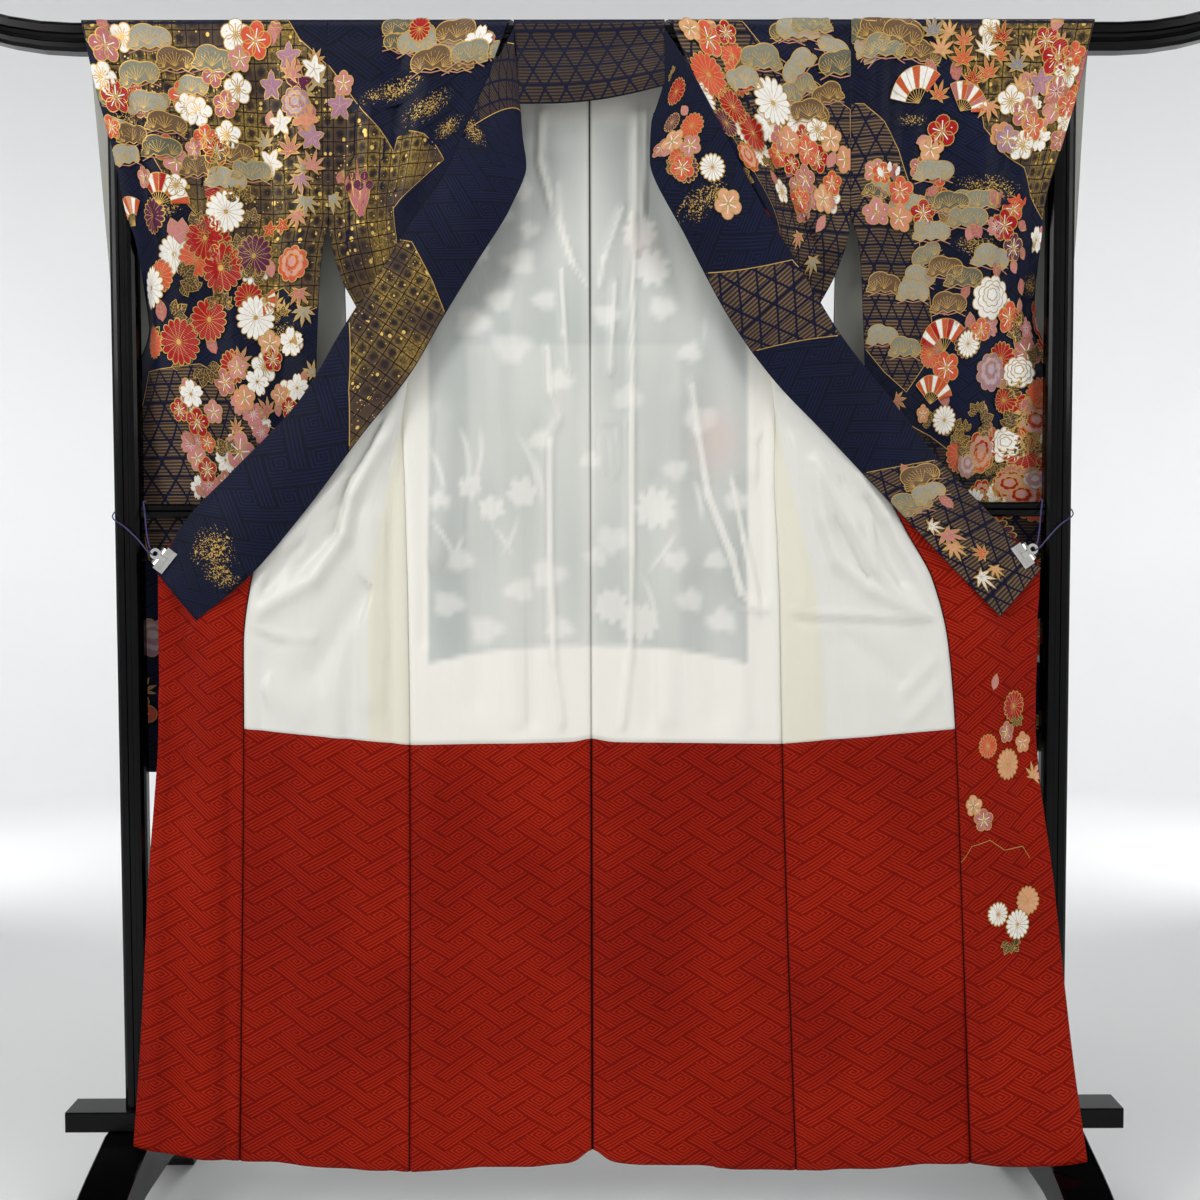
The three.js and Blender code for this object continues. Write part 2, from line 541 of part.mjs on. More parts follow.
// ---- clips and strings ----
// each clip bites the collar's lower corner; its ring points up and out to the post
const CLIP = {
  L: { x: -568, y: -41.1, z: 920, tilt: 141 },
  R: { x: 578, y: -41.1, z: 924, tilt: 36 },
};
const BITE = 4.6;              // half the thickness that the jaws close on

function clipFrame(mesh, hand) {
  mesh.position.set(KIMONO_X + CLIP[hand].x, CLIP[hand].y, CLIP[hand].z);
  mesh.rotation.y = -THREE.MathUtils.degToRad(CLIP[hand].tilt);
  return mesh;
}

// along +X is away from the cloth, Y is front to back, Z is the width of the jaws
function clip(hand) {
  const outline = [
    [-5, BITE], [-3, BITE], [-1, BITE + 1.8], [9, BITE + 3.4],
    [9, BITE + 4.6], [-2, BITE + 3.2], [-4, BITE + 1.6], [-5.4, BITE + 1.6],
  ];
  for (const [name, facing] of [['front', -1], ['back', 1]]) {
    const shape = new THREE.Shape(outline.map(([x, y]) => new THREE.Vector2(x, facing * y)));
    const jaw = new THREE.ExtrudeGeometry(shape, { depth: CLIP_WIDTH, bevelEnabled: false });
    clipFrame(addMesh(`clip_${name}_${hand}`, jaw.translate(0, 0, -CLIP_WIDTH / 2), 'nickel'), hand);
  }
  const outer = BITE + 4.6;
  const spring = new THREE.Shape();
  spring.moveTo(9.3, outer);
  spring.quadraticCurveTo(17, outer - 1, 17, 0);
  spring.quadraticCurveTo(17, 1 - outer, 9.3, -outer);
  spring.lineTo(9.3, 1.2 - outer);
  spring.quadraticCurveTo(15.6, 2 - outer, 15.6, 0);
  spring.quadraticCurveTo(15.6, outer - 2, 9.3, outer - 1.2);
  const bow = new THREE.ExtrudeGeometry(spring, {
    depth: CLIP_WIDTH - 8,
    bevelEnabled: false,
    curveSegments: 6,
  });
  clipFrame(addMesh(`clip_spring_${hand}`, bow.translate(0, 0, 4 - CLIP_WIDTH / 2), 'nickel'), hand);

  const ring = new THREE.Shape();
  ring.moveTo(1, -4);
  ring.lineTo(10, -2.6);
  ring.absarc(17, 0, 7.4, Math.PI + 0.36, Math.PI * 3 - 0.36, false);
  ring.lineTo(1, 4);
  const hole = new THREE.Path();
  hole.absarc(17, 0, 3.4, 0, Math.PI * 2, true);
  ring.holes.push(hole);
  const tab = new THREE.ExtrudeGeometry(ring, { depth: 1.2, bevelEnabled: false, curveSegments: 12 });
  tab.rotateX(Math.PI / 2).translate(0, -outer - GAP, 0);
  clipFrame(addMesh(`clip_ring_${hand}`, tab, 'nickel'), hand);
}

// one loop of string: out of the ring, across the post, round behind it and back over the crossbar
const STRING_ROUTE = {
  L: rows(['x', 'y', 'z'],
    [-584, -53.4, 928.5], [-592, -52, 934.5], [-601, -44, 943], [-616, -30, 955], [-634, -17.8, 968],
    [-648, -16.4, 977.5], [-651.4, -8, 983], [-651.4, 6, 989], [-648, 16.6, 995],
    [-631, 17.4, 999.5], [-615, 16.6, 1001],
    [-610.6, 8, 1001.4], [-609.6, -4, 1001.4], [-608, -12.2, 999.5], [-604, -20, 984], [-598, -34, 962],
    [-591, -48, 944], [-587.4, -53, 937.5]),
  R: rows(['x', 'y', 'z'],
    [594, -53.4, 931.5], [602, -52, 937], [611, -44, 945], [626, -30, 957], [642, -17.8, 969],
    [656, -16.4, 978.5], [659.4, -8, 984], [659.4, 6, 990], [656, 16.6, 996],
    [639, 17.4, 999.5], [623, 16.6, 1001],
    [618.6, 8, 1001.4], [617.6, -4, 1001.4], [616, -12.2, 999.5], [612, -20, 984], [606, -34, 962],
    [599.5, -48, 946], [596.4, -53, 940]),
};

function string(hand) {
  const points = STRING_ROUTE[hand].map((p) => new THREE.Vector3(KIMONO_X + p.x, p.y, p.z));
  const path = new THREE.CatmullRomCurve3(points, false, 'centripetal');
  const section = new THREE.Shape();
  section.absarc(0, 0, STRING / 2, 0, Math.PI * 2, false);
  const steps = 60;
  const geometry = new THREE.ExtrudeGeometry(section, {
    steps,
    extrudePath: path,
    curveSegments: 4,
    bevelEnabled: false,
  });
  geometry.deleteAttribute('uv');
  geometry.deleteAttribute('normal');
  addMesh(`string_${hand}`, mergeVertices(geometry), 'string');
}

rail();
posts();
crossbar();
base();
for (const hand of ['L', 'R']) {
  bodyHalf(hand);
  sleeve(hand);
  clip(hand);
  string(hand);
}
collar();

export default kimonoOnStand;
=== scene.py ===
"""A furisode kimono hung open on a lacquered kimono stand. Millimetres in the tables, metres in Blender."""
import math
import random

import bpy
import numpy as np
from mathutils import Matrix, Vector
from mathutils.geometry import delaunay_2d_cdt


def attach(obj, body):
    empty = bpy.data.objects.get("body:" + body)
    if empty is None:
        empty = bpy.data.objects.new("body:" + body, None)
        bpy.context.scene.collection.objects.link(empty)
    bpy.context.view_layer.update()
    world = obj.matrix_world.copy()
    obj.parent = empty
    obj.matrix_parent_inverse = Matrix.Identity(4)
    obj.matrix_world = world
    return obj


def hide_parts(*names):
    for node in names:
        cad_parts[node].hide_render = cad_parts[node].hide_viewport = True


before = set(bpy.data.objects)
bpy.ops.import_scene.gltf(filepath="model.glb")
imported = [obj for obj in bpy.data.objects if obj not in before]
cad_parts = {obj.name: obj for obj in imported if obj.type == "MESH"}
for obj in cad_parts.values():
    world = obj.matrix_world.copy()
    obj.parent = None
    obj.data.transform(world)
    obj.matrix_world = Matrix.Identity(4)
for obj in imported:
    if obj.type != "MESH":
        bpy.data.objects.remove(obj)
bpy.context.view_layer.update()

MM = 0.001
KIMONO_X = -12.0                 # the dress's middle
IMAGE = 1200                     # pixels across the photograph's square frame

# ---------------------------------------------------------------- camera
CAMERA = {                       # its place in millimetres, turns in radians and focal length in photo pixels
    "x": -8.12, "y": -1976.6, "z": 960.7, "yaw": 0.0044, "pitch": 0.0485, "roll": -0.0025, "focal": 1439.3,
}
SENSOR = 36.0


def camera_axes():
    """Right, up and forward of the camera as unit vectors."""
    yaw, pitch, roll = (CAMERA[k] for k in ("yaw", "pitch", "roll"))
    forward = np.array([math.sin(yaw) * math.cos(pitch), math.cos(yaw) * math.cos(pitch), -math.sin(pitch)])
    right = np.array([math.cos(yaw), -math.sin(yaw), 0.0])
    up = np.cross(right, forward)
    c, s = math.cos(roll), math.sin(roll)
    return c * right + s * up, c * up - s * right, forward


RIGHT, UP, AHEAD = camera_axes()
EYE = np.array([CAMERA["x"], CAMERA["y"], CAMERA["z"]])


def project(points):
    """Photo pixels of points in millimetres."""
    away = points - EYE
    depth = away @ AHEAD
    return (IMAGE / 2 + CAMERA["focal"] * (away @ RIGHT) / depth,
            IMAGE / 2 - CAMERA["focal"] * (away @ UP) / depth)


def add_camera():
    data = bpy.data.cameras.new("camera")
    data.sensor_width = SENSOR
    data.lens = CAMERA["focal"] / IMAGE * SENSOR
    camera = bpy.data.objects.new("camera", data)
    place = Matrix([RIGHT, UP, -AHEAD]).transposed().to_4x4()
    place.translation = Vector(EYE * MM)
    camera.matrix_world = place
    bpy.context.scene.collection.objects.link(camera)
    bpy.context.scene.camera = camera


add_camera()


# ---------------------------------------------------------------- sizes shared with the solids
CLOTH = 1.2
GAP = 0.3
RAIL_TOP = 1642.0
RAIL_DEPTH = 30.0
EDGE_RADIUS = 8.0
SHOULDER_Z = RAIL_TOP + CLOTH + 2 * GAP
HANG_TOP = SHOULDER_Z - 2        # levels are measured down from here
FLAT = RAIL_DEPTH / 2 + CLOTH + 2 * GAP - EDGE_RADIUS
ARC = EDGE_RADIUS * math.pi / 2
OVER = FLAT + ARC
STEADY = 105.0                   # from this level down the drop follows the table
LEAVES_RAIL = 40.0               # the cloth passes from the rail's depth to the table's over this height
SEWN = (280, 90)                 # the level where the side seam starts, and the height it takes to close
ARMHOLE = (225, 60)              # the level where a sleeve's seam ends, and the height it takes to open
OVERLAP_PROUD = (3.4, 330, 120)  # how far its top stands before the front, from what level, over what height
BODY_LENGTH = 1545.0
HANG = 1.012
LINING_LENGTH = 962.0
SLEEVE_LENGTH = 1020.0
SLEEVE_HANG = {"L": 1.0, "R": 0.975}
NECK = 100.0
SIDE = {"L": -1.0, "R": 1.0}


def rows(names, *lines):
    """A table as {column name: array}."""
    return {name: np.array([line[i] for line in lines], float) for i, name in enumerate(names)}


BACK = {
    "L": rows(("level", "depth", "side", "rise"),
        (0, 17, 349.3, 0), (60, 18, 349.3, 0), (258, 15, 349, 0), (330, 4, 336, 0), (400, -9, 302, 0),
        (450, -12, 273, 0), (500, -12.8, 262, 0), (600, -12.8, 254, 0), (700, -13.5, 251, 2),
        (765, -15, 249.4, 4), (962, -21, 247.4, 8), (1200, -27, 248, 14), (1545, -33, 251.4, 30)),
    "R": rows(("level", "depth", "side", "rise"),
        (0, 17, 349.3, 0), (60, 18, 349.3, 0), (258, 15, 347, 0), (330, 4, 330, 0), (400, -9, 296, 0),
        (450, -12, 267, 0), (500, -12.8, 256, 0), (600, -12.8, 251, 0), (700, -13.5, 255, 2),
        (765, -15, 257.4, 4), (962, -21, 260.4, 8), (1200, -27, 267.4, 14), (1545, -33, 280.4, 30)),
}
FRONT_COLUMNS = ("level", "side", "sideY", "seam", "seamY", "rise", "fold")
FRONT = {
    "L": rows(FRONT_COLUMNS,
        (0, 349.6, -17, 101, -17, 0, 0), (70, 349.6, -22, 130, -25, 0, 4),
        (140, 349.6, -23, 160, -27, 5, 8), (215, 349.6, -24, 190, -29, 16, 14),
        (258, 349.6, -24, 212, -30, 24, 20), (330, 342, -20, 240, -30, 35, 32),
        (400, 322, -16, 272, -31, 43, 42), (450, 290, -16, 300, -32, 42, 46),
        (500, 264, -17, 330, -33, 39, 42), (600, 255, -16.2, 385, -34, 30, 22),
        (700, 252, -17, 435, -35, 26, 8), (765, 250, -18, 458, -35, 24, 0),
        (850, 249, -20, 469, -36, 24, 0), (962, 248, -23, 470, -37, 25, 0),
        (1200, 249, -28, 474, -41, 24, 0), (1545, 252, -34, 482, -45, 22, 0)),
    "R": rows(FRONT_COLUMNS,
        (0, 349.6, -17, 101, -17, 0, 0), (70, 349.6, -22, 134, -25, 0, 4),
        (140, 349.6, -23, 174, -27, 0, 8), (215, 349.6, -24, 210, -29, 6, 14),
        (258, 349.6, -24, 232, -30, 9, 20), (330, 338, -20, 258, -30, 22, 32),
        (400, 318, -16, 290, -31, 27, 42), (450, 285, -16, 312, -32, 32, 46),
        (500, 258, -17, 340, -33, 34, 42), (600, 253, -16.2, 375, -34, 25, 22),
        (700, 256, -17, 425, -35, 26, 8), (765, 258, -18, 462, -35, 24, 0),
        (850, 260, -20, 483, -36, 28, 0), (962, 261, -23, 494, -37, 22, 0),
        (1200, 268, -28, 504, -41, 20, 0), (1545, 281, -34, 518, -45, 14, 0)),
}
OVERLAP = {
    "L": rows(("level", "edge", "edgeY", "rise"),
        (258, 217, -33.6, 20), (330, 256, -33.6, 34), (400, 300, -34, 39), (450, 345, -34, 19),
        (500, 385, -35, 5), (600, 465, -37, 21), (700, 545, -38.2, 38), (765, 582, -38.9, 37),
        (850, 583, -39, 43), (962, 583, -41, 45), (1200, 598, -54, 49), (1400, 605, -74, 56),
        (1545, 612, -92, 64)),
    "R": rows(("level", "edge", "edgeY", "rise"),
        (258, 237, -33.6, 5), (330, 273, -33.6, 14), (400, 320, -34, 8), (450, 355, -34, 9),
        (500, 402, -35, 0), (600, 469, -37, 17), (700, 545, -38.2, 39), (765, 606, -38.9, 40),
        (850, 603, -39, 43), (962, 601, -42, 42), (1200, 624, -58, 46), (1400, 641, -86, 44),
        (1545, 656, -112, 46)),
}
STRIP_COLUMNS = ("seam", "seamY", "seamZ", "free", "freeY", "freeZ")
STRIP = {
    "L": rows(STRIP_COLUMNS,
        (101, -23, 1628, 92, -35, 1514), (130, -28.4, 1572, 88, -38, 1478), (160, -31, 1507, 84, -39, 1444),
        (190, -34.6, 1440, 105, -40.5, 1390), (240, -38, 1366, 150, -42, 1318),
        (285, -38.8, 1298, 196, -42.5, 1244), (327, -39, 1235, 240, -43, 1170),
        (388, -39.6, 1136, 305, -44, 1089), (480, -40.8, 1040, 385, -44.5, 984),
        (545, -41.6, 972, 460, -44.8, 898), (582, -42.3, 905, 530, -45, 841)),
    "R": rows(STRIP_COLUMNS,
        (101, -23, 1628, 100, -35, 1538), (132, -28.4, 1578, 82, -38, 1500),
        (170, -32, 1508, 80, -39, 1450), (220, -37, 1410, 129, -41, 1348),
        (277, -38.8, 1315, 190, -42, 1236), (335, -39, 1221, 246, -42.6, 1160),
        (402, -39.6, 1136, 318, -43.4, 1085), (469, -40.6, 1052, 388, -44, 1011),
        (540, -41.6, 978, 462, -44.5, 934), (606, -42.3, 908, 551, -45, 843)),
}
SLEEVE_COLUMNS = ("level", "inner", "innerY", "turn", "turnY", "cuff", "cuffY")
SLEEVE_FRONT = {
    "L": rows(SLEEVE_COLUMNS,
        (0, 350.2, -17, 600, -17, 683, -17), (105, 350.2, -21, 590, -22, 655, -23),
        (160, 350.2, -22, 585, -23, 640, -24), (258, 350.2, -20, 580, -22, 620, -23),
        (295, 358, -17, 583, -18, 609.5, -19), (335, 364, -13, 585, -12, 606.5, -4),
        (400, 369, -8, 588, -6, 606, 23), (470, 373, -3, 580, -3, 632, 31),
        (600, 378, 10, 562, 10, 652, 37.6), (646, 379, 15, 560, 15.5, 653, 38.6),
        (700, 380, 19, 560, 20, 653, 39.6), (1020, 376, 37, 555, 38.5, 641, 42.5)),
    "R": rows(SLEEVE_COLUMNS,
        (0, 350.2, -17, 600, -17, 682, -17), (105, 350.2, -21, 590, -22, 652, -24),
        (160, 350.2, -22, 585, -23, 636, -24), (258, 350.2, -20, 578, -22, 611, -22),
        (295, 360, -17, 577, -18, 609, -16), (335, 366, -13, 575, -13, 608, -4),
        (400, 370, -8, 570, -8, 613, 23), (470, 374, -3, 566, -3, 642, 32),
        (600, 378, 10, 560, 10, 664, 37.6), (646, 379, 15, 558, 15.5, 667, 38.6),
        (700, 380, 19, 556, 20, 668, 39.6), (1020, 378, 37, 560, 38.5, 670, 42.5)),
}
SLEEVE_BACK = {
    "L": rows(("level", "inner", "innerY", "cuff", "cuffY"),
        (0, 350.2, 17, 683, 17), (105, 350.2, 20, 676, 25), (258, 350.2, 24, 668, 34),
        (330, 338, 28, 664, 37), (470, 337, 32, 657, 40.5), (600, 342, 35, 652, 41.4),
        (700, 350, 37, 653, 43), (1020, 376, 40.6, 641, 46.2)),
    "R": rows(("level", "inner", "innerY", "cuff", "cuffY"),
        (0, 350.2, 17, 682, 17), (105, 350.2, 20, 678, 25), (258, 350.2, 24, 674, 34),
        (330, 338, 28, 671, 37), (470, 337, 32, 666, 40.5), (600, 342, 35, 664, 41.4),
        (700, 350, 37, 668, 43), (1020, 378, 40.6, 670, 46.2)),
}

# soft folds as seen from the front, in photo pixels: a ridge towards the viewer from end to end
FOLD_COLUMNS = ("x0", "y0", "x1", "y1", "depth", "width")
FOLDS = {
    "back": rows(FOLD_COLUMNS,
        (542, 112, 540, 162, 4.5, 4.5), (540, 162, 550, 198, 4.5, 4.5), (558, 184, 560, 222, 3.5, 4),
        (560, 222, 572, 262, 4.5, 4), (572, 262, 586, 284, 3.5, 4), (550, 198, 553, 216, 3, 4),
        (636, 112, 635, 212, 4.5, 4), (645, 112, 642, 214, 3.5, 3.5), (633, 214, 632, 400, 4, 3.5),
        (627, 236, 627, 330, 2.5, 3), (632, 400, 632, 552, 4.5, 3.5), (626, 420, 627, 560, 2.5, 3),
        (632, 552, 630, 655, 4, 3.5), (630, 655, 622, 726, 3.5, 4), (562, 270, 564, 334, 4, 3.2),
        (564, 334, 569, 371, 3.5, 3.2), (614, 282, 612, 332, 4, 3.2), (612, 332, 611, 371, 3.5, 3.2),
        (622, 208, 604, 258, 3.5, 4), (604, 258, 600, 284, 3.5, 4), (548, 348, 550, 392, 4, 3.5),
        (550, 392, 560, 418, 3, 4), (560, 418, 551, 436, 2.4, 4.5), (550, 440, 550, 552, 4.4, 3.8),
        (550, 552, 554, 660, 5, 3.8), (554, 660, 562, 724, 4.5, 4), (545, 560, 548, 640, 2.5, 3.5),
        (692, 384, 698, 430, 3.5, 5), (698, 430, 708, 494, 4, 5), (708, 494, 732, 556, 5, 5),
        (732, 556, 741, 592, 5, 4.5), (741, 592, 758, 611, 4.5, 4), (732, 480, 744, 540, 4, 4),
        (744, 540, 757, 604, 4.5, 4), (728, 606, 768, 609, 3, 3.5), (601, 440, 604, 470, 2.5, 3),
        (611, 444, 614, 476, 2.5, 3), (618, 430, 620, 470, 2.5, 3), (604, 420, 626, 423, 2, 3),
        (682, 468, 694, 472, 2, 3.5), (696, 474, 706, 477, 2, 3.5), (742, 438, 762, 436, 2.5, 4),
        (452, 330, 484, 270, -5, 17), (455, 420, 440, 560, 5, 16), (480, 500, 478, 700, -4, 13),
        (500, 330, 516, 720, 4, 12), (524, 140, 520, 330, 3.5, 11), (536, 430, 534, 720, -3, 9),
        (655, 200, 690, 330, -4, 14), (672, 400, 668, 716, 4, 12), (720, 330, 745, 470, 4.5, 13),
        (650, 480, 650, 720, -3, 9), (700, 580, 716, 716, -4, 11), (588, 200, 592, 400, -1.5, 9),
        (427, 400, 424, 640, -4, 8), (764, 420, 766, 590, -3, 8), (740, 620, 744, 724, 3, 8),
        (430, 770, 424, 1100, 5, 20), (520, 750, 532, 1165, 4, 19), (640, 760, 640, 1150, 4.5, 17),
        (730, 770, 736, 1160, 4.5, 22), (475, 880, 478, 1170, -4, 16), (690, 900, 700, 1165, -4, 16),
        (562, 780, 566, 1150, 3, 9), (612, 840, 612, 1150, 3, 9)),
    "front_L": rows(FOLD_COLUMNS,
        (404, 385, 383, 440, 8, 10), (383, 440, 353, 493, 10, 9), (353, 493, 343, 537, 11, 8),
        (343, 537, 313, 580, 9, 9), (313, 580, 256, 612, 7, 9), (346, 486, 334, 532, -8, 7),
        (334, 532, 300, 566, -7, 9), (396, 410, 345, 480, -6, 8), (345, 474, 284, 542, 7, 9),
        (300, 545, 262, 590, -5, 8), (262, 575, 248, 612, 5, 5), (250, 626, 280, 637, 3, 4),
        (280, 637, 353, 638, 2.2, 4), (252, 632, 282, 645, -3, 5), (313, 672, 366, 590, -6, 14),
        (270, 690, 300, 712, 4, 14), (372, 520, 372, 700, 5, 12), (352, 640, 350, 735, -3, 8),
        (392, 480, 392, 740, -3, 7), (260, 660, 262, 726, -3, 10), (330, 700, 336, 748, 3, 10),
        (320, 760, 322, 1150, 5, 20), (280, 800, 275, 1160, -5, 18), (368, 770, 370, 1160, 4, 14),
        (395, 800, 396, 1165, -3, 8), (372, 110, 352, 320, 7, 13), (345, 120, 336, 300, -6, 9),
        (400, 60, 392, 180, -5, 10), (430, 80, 404, 200, 5, 10)),
    "front_R": rows(FOLD_COLUMNS,
        (793, 402, 860, 476, 7, 9), (860, 476, 888, 516, 7, 8), (888, 516, 938, 606, 6, 6),
        (817, 462, 853, 527, 9, 8), (853, 527, 874, 567, 9, 8), (874, 567, 914, 610, 7, 8),
        (817, 476, 823, 520, 8, 7), (823, 520, 838, 562, 8, 7), (838, 562, 873, 590, 7, 8),
        (873, 590, 920, 614, 6, 7), (834, 486, 846, 530, -3.5, 11), (846, 530, 866, 575, -3.5, 10),
        (870, 500, 902, 580, -6, 8), (780, 609, 813, 613, 3.5, 3.5), (813, 613, 910, 617, 4, 3.5),
        (910, 617, 943, 616, 4, 4), (800, 621, 930, 625, -3, 4.5), (795, 440, 806, 600, 4, 9),
        (872, 520, 872, 556, 3, 4), (905, 690, 935, 660, 3, 6), (910, 720, 938, 690, 3, 6),
        (826, 640, 828, 745, -3, 8), (862, 690, 868, 745, 3, 14), (850, 640, 900, 680, -3, 12),
        (870, 760, 874, 1160, 5, 20), (915, 800, 925, 1160, -5, 18), (815, 780, 820, 1160, 4, 14),
        (795, 800, 798, 1165, -3, 8), (690, 90, 770, 230, 7, 10), (715, 50, 812, 240, -6, 10),
        (748, 90, 826, 250, 6, 10), (775, 70, 838, 220, -5, 9)),
    "overlap_L": rows(FOLD_COLUMNS,
        (215, 620, 205, 1150, 6, 15), (180, 600, 172, 1140, -5, 12), (235, 560, 190, 640, 5, 12),
        (240, 700, 160, 790, 3, 14), (160, 700, 150, 1140, 4, 9), (232, 760, 226, 1150, -4, 9)),
    "overlap_R": rows(FOLD_COLUMNS,
        (985, 640, 1000, 1150, 6, 15), (1018, 620, 1042, 1150, -5, 12), (950, 540, 985, 640, 5, 12),
        (1036, 640, 1068, 1140, 4, 9), (965, 760, 976, 1150, -4, 9)),
    "sleeve_front_L": rows(FOLD_COLUMNS,
        (300, 60, 312, 330, 7, 14), (262, 90, 285, 420, -6, 14), (326, 40, 331, 200, 3.5, 9),
        (150, 100, 200, 420, 7, 16), (110, 40, 160, 260, -4, 12), (205, 130, 250, 440, 6, 14),
        (98, 30, 128, 140, 3, 8), (180, 60, 215, 300, -5, 12), (230, 40, 232, 200, 4, 12)),
    "sleeve_front_R": rows(FOLD_COLUMNS,
        (1062, 40, 1050, 200, 5, 9), (1080, 40, 1066, 150, -4, 8), (1040, 60, 1030, 260, -4, 9),
        (1092, 24, 1078, 120, 3, 7), (880, 60, 872, 330, 6, 12), (930, 120, 925, 440, -6, 15),
        (985, 120, 975, 440, 6, 13), (858, 40, 858, 200, 3, 9), (905, 60, 900, 300, -4, 10),
        (1010, 160, 1004, 440, -5, 10), (1030, 240, 1024, 470, 4, 11)),
    "sleeve_back_L": rows(FOLD_COLUMNS,
        (180, 200, 176, 700, 5, 22), (260, 150, 256, 720, -5, 26), (310, 160, 300, 700, 4, 14),
        (145, 300, 148, 740, 4, 12)),
    "sleeve_back_R": rows(FOLD_COLUMNS,
        (1010, 200, 1016, 700, 5, 22), (930, 150, 936, 720, -5, 26), (880, 160, 890, 700, 4, 14),
        (1050, 300, 1056, 740, 4, 12)),
    "collar_L": rows(FOLD_COLUMNS,
        (440, 180, 480, 230, 1.5, 12), (330, 380, 380, 420, -1.5, 16), (230, 520, 290, 560, 1.5, 18)),
    "collar_R": rows(FOLD_COLUMNS,
        (690, 200, 730, 180, 1.5, 12), (780, 330, 830, 300, -1.5, 16), (900, 500, 960, 450, 1.5, 18)),
}


def smooth(t):
    t = np.clip(t, 0, 1)
    return t * t * (3 - 2 * t)


def mix(a, b, t):
    return a + (b - a) * t


def eased(xs, ys, x):
    """Cubic through the rows with no overshoot."""
    step = np.diff(xs)
    slope = np.diff(ys) / step
    tangent = np.zeros_like(ys)
    tangent[0], tangent[-1] = slope[0], slope[-1]
    same = slope[:-1] * slope[1:] > 0
    inner = np.zeros_like(slope[:-1])
    inner[same] = 2 * slope[:-1][same] * slope[1:][same] / (slope[:-1][same] + slope[1:][same])
    tangent[1:-1] = inner
    i = np.clip(np.searchsorted(xs, x, side="right") - 1, 0, len(xs) - 2)
    t = np.clip((x - xs[i]) / step[i], 0, 1)
    h = step[i]
    return ((2 * t**3 - 3 * t**2 + 1) * ys[i] + (t**3 - 2 * t**2 + t) * h * tangent[i]
            + (3 * t**2 - 2 * t**3) * ys[i + 1] + (t**3 - t**2) * h * tangent[i + 1])


def row_at(table, key, value):
    return {name: eased(table[key], column, value) for name, column in table.items() if name != key}


def hung(x, depth, level, z_below, facing):
    """The drop from the ridge of the fold: over the rail, then down."""
    angle = np.clip((level - FLAT) / EDGE_RADIUS, 0, math.pi / 2)
    turn_y = np.minimum(level, FLAT) + EDGE_RADIUS * np.sin(angle)
    turn_z = SHOULDER_Z - EDGE_RADIUS * (1 - np.cos(angle))
    away = smooth((level - OVER) / LEAVES_RAIL)
    ease = np.clip((level - OVER) / (STEADY - OVER), 0, 1)
    z = np.where(level < OVER, turn_z, mix(turn_z, z_below(np.maximum(level, STEADY)), ease))
    z = np.where(level > STEADY, z_below(level), z)
    return np.stack([x, mix(facing * turn_y, depth, away), z], axis=-1)


def back_at(hand):
    def at(u, v):
        level = v * BODY_LENGTH
        row = row_at(BACK[hand], "level", level)
        x = KIMONO_X + SIDE[hand] * row["side"] * u
        rise = row["rise"] * (0.55 * np.exp(-((u * 14) ** 2)) + 0.45 * (1 - u))
        return hung(x, row["depth"], level, lambda w: HANG_TOP - w * HANG + rise, 1)
    return at


def front_at(hand):
    def free(u, v):
        level = v * BODY_LENGTH
        row = row_at(FRONT[hand], "level", level)
        x = KIMONO_X + SIDE[hand] * (mix(row["side"], row["seam"], u) - row["fold"] * np.sin(np.pi * u))
        depth = mix(row["sideY"], row["seamY"], u)
        return hung(x, depth, level, lambda w: HANG_TOP - w * HANG + row["rise"] * u, -1)

    def at(u, v):
        sewn = smooth((v * BODY_LENGTH - SEWN[0]) / SEWN[1]) * (1 - u) ** 3
        start = np.zeros_like(v)
        return free(u, v) + (back_at(hand)(start + 1, v) - free(start, v)) * sewn[..., None]
    return at


def overlap_at(hand):
    top = OVERLAP[hand]["level"][0]
    most, start, height = OVERLAP_PROUD

    def at(u, v):
        level = mix(top, BODY_LENGTH, v)
        seam = row_at(FRONT[hand], "level", level)
        edge = row_at(OVERLAP[hand], "level", level)
        proud = most * (1 - smooth((level - start) / height))
        x = SIDE[hand] * mix(seam["seam"], edge["edge"], u)
        bowed = mix(u, np.sin(np.pi / 2 * u), smooth(v))
        y = mix(seam["seamY"] - proud, edge["edgeY"], bowed)
        z = HANG_TOP - level * HANG + mix(seam["rise"], edge["rise"], u)
        return np.stack([KIMONO_X + x, y, z], axis=-1)
    return at


def strip_at(hand):
    table = dict(STRIP[hand])
    table["at"] = np.linspace(0, 1, len(table["seam"]))

    def at(u, v):
        row = row_at(table, "at", v)
        x = KIMONO_X + SIDE[hand] * mix(row["seam"], row["free"], u)
        y = mix(row["seamY"], row["freeY"], u) - 1.5 * np.sin(np.pi * u)
        return np.stack([x, y, mix(row["seamZ"], row["freeZ"], u)], axis=-1)
    return at


def neck_at(u, v):
    left, right = ({k: c[0] for k, c in STRIP[hand].items()} for hand in "LR")
    length = SHOULDER_Z - mix(left["freeZ"], right["freeZ"], u) + 8 * np.sin(np.pi * u)
    level = np.maximum(v * length, GAP)
    along = np.clip((level - OVER) / (length - OVER), 0, 1)
    half_left = mix(NECK + 1, left["free"] + 1, along)
    half_right = mix(NECK + 1, right["free"] + 1, along)
    angle = np.clip((level - FLAT) / EDGE_RADIUS, 0, math.pi / 2)
    y = np.minimum(level, FLAT) + EDGE_RADIUS * np.sin(angle) + 17 * smooth(along)
    z = SHOULDER_Z - EDGE_RADIUS * (1 - np.cos(angle)) - np.maximum(level - OVER, 0)
    return np.stack([KIMONO_X + mix(-half_left, half_right, u), -y, z], axis=-1)


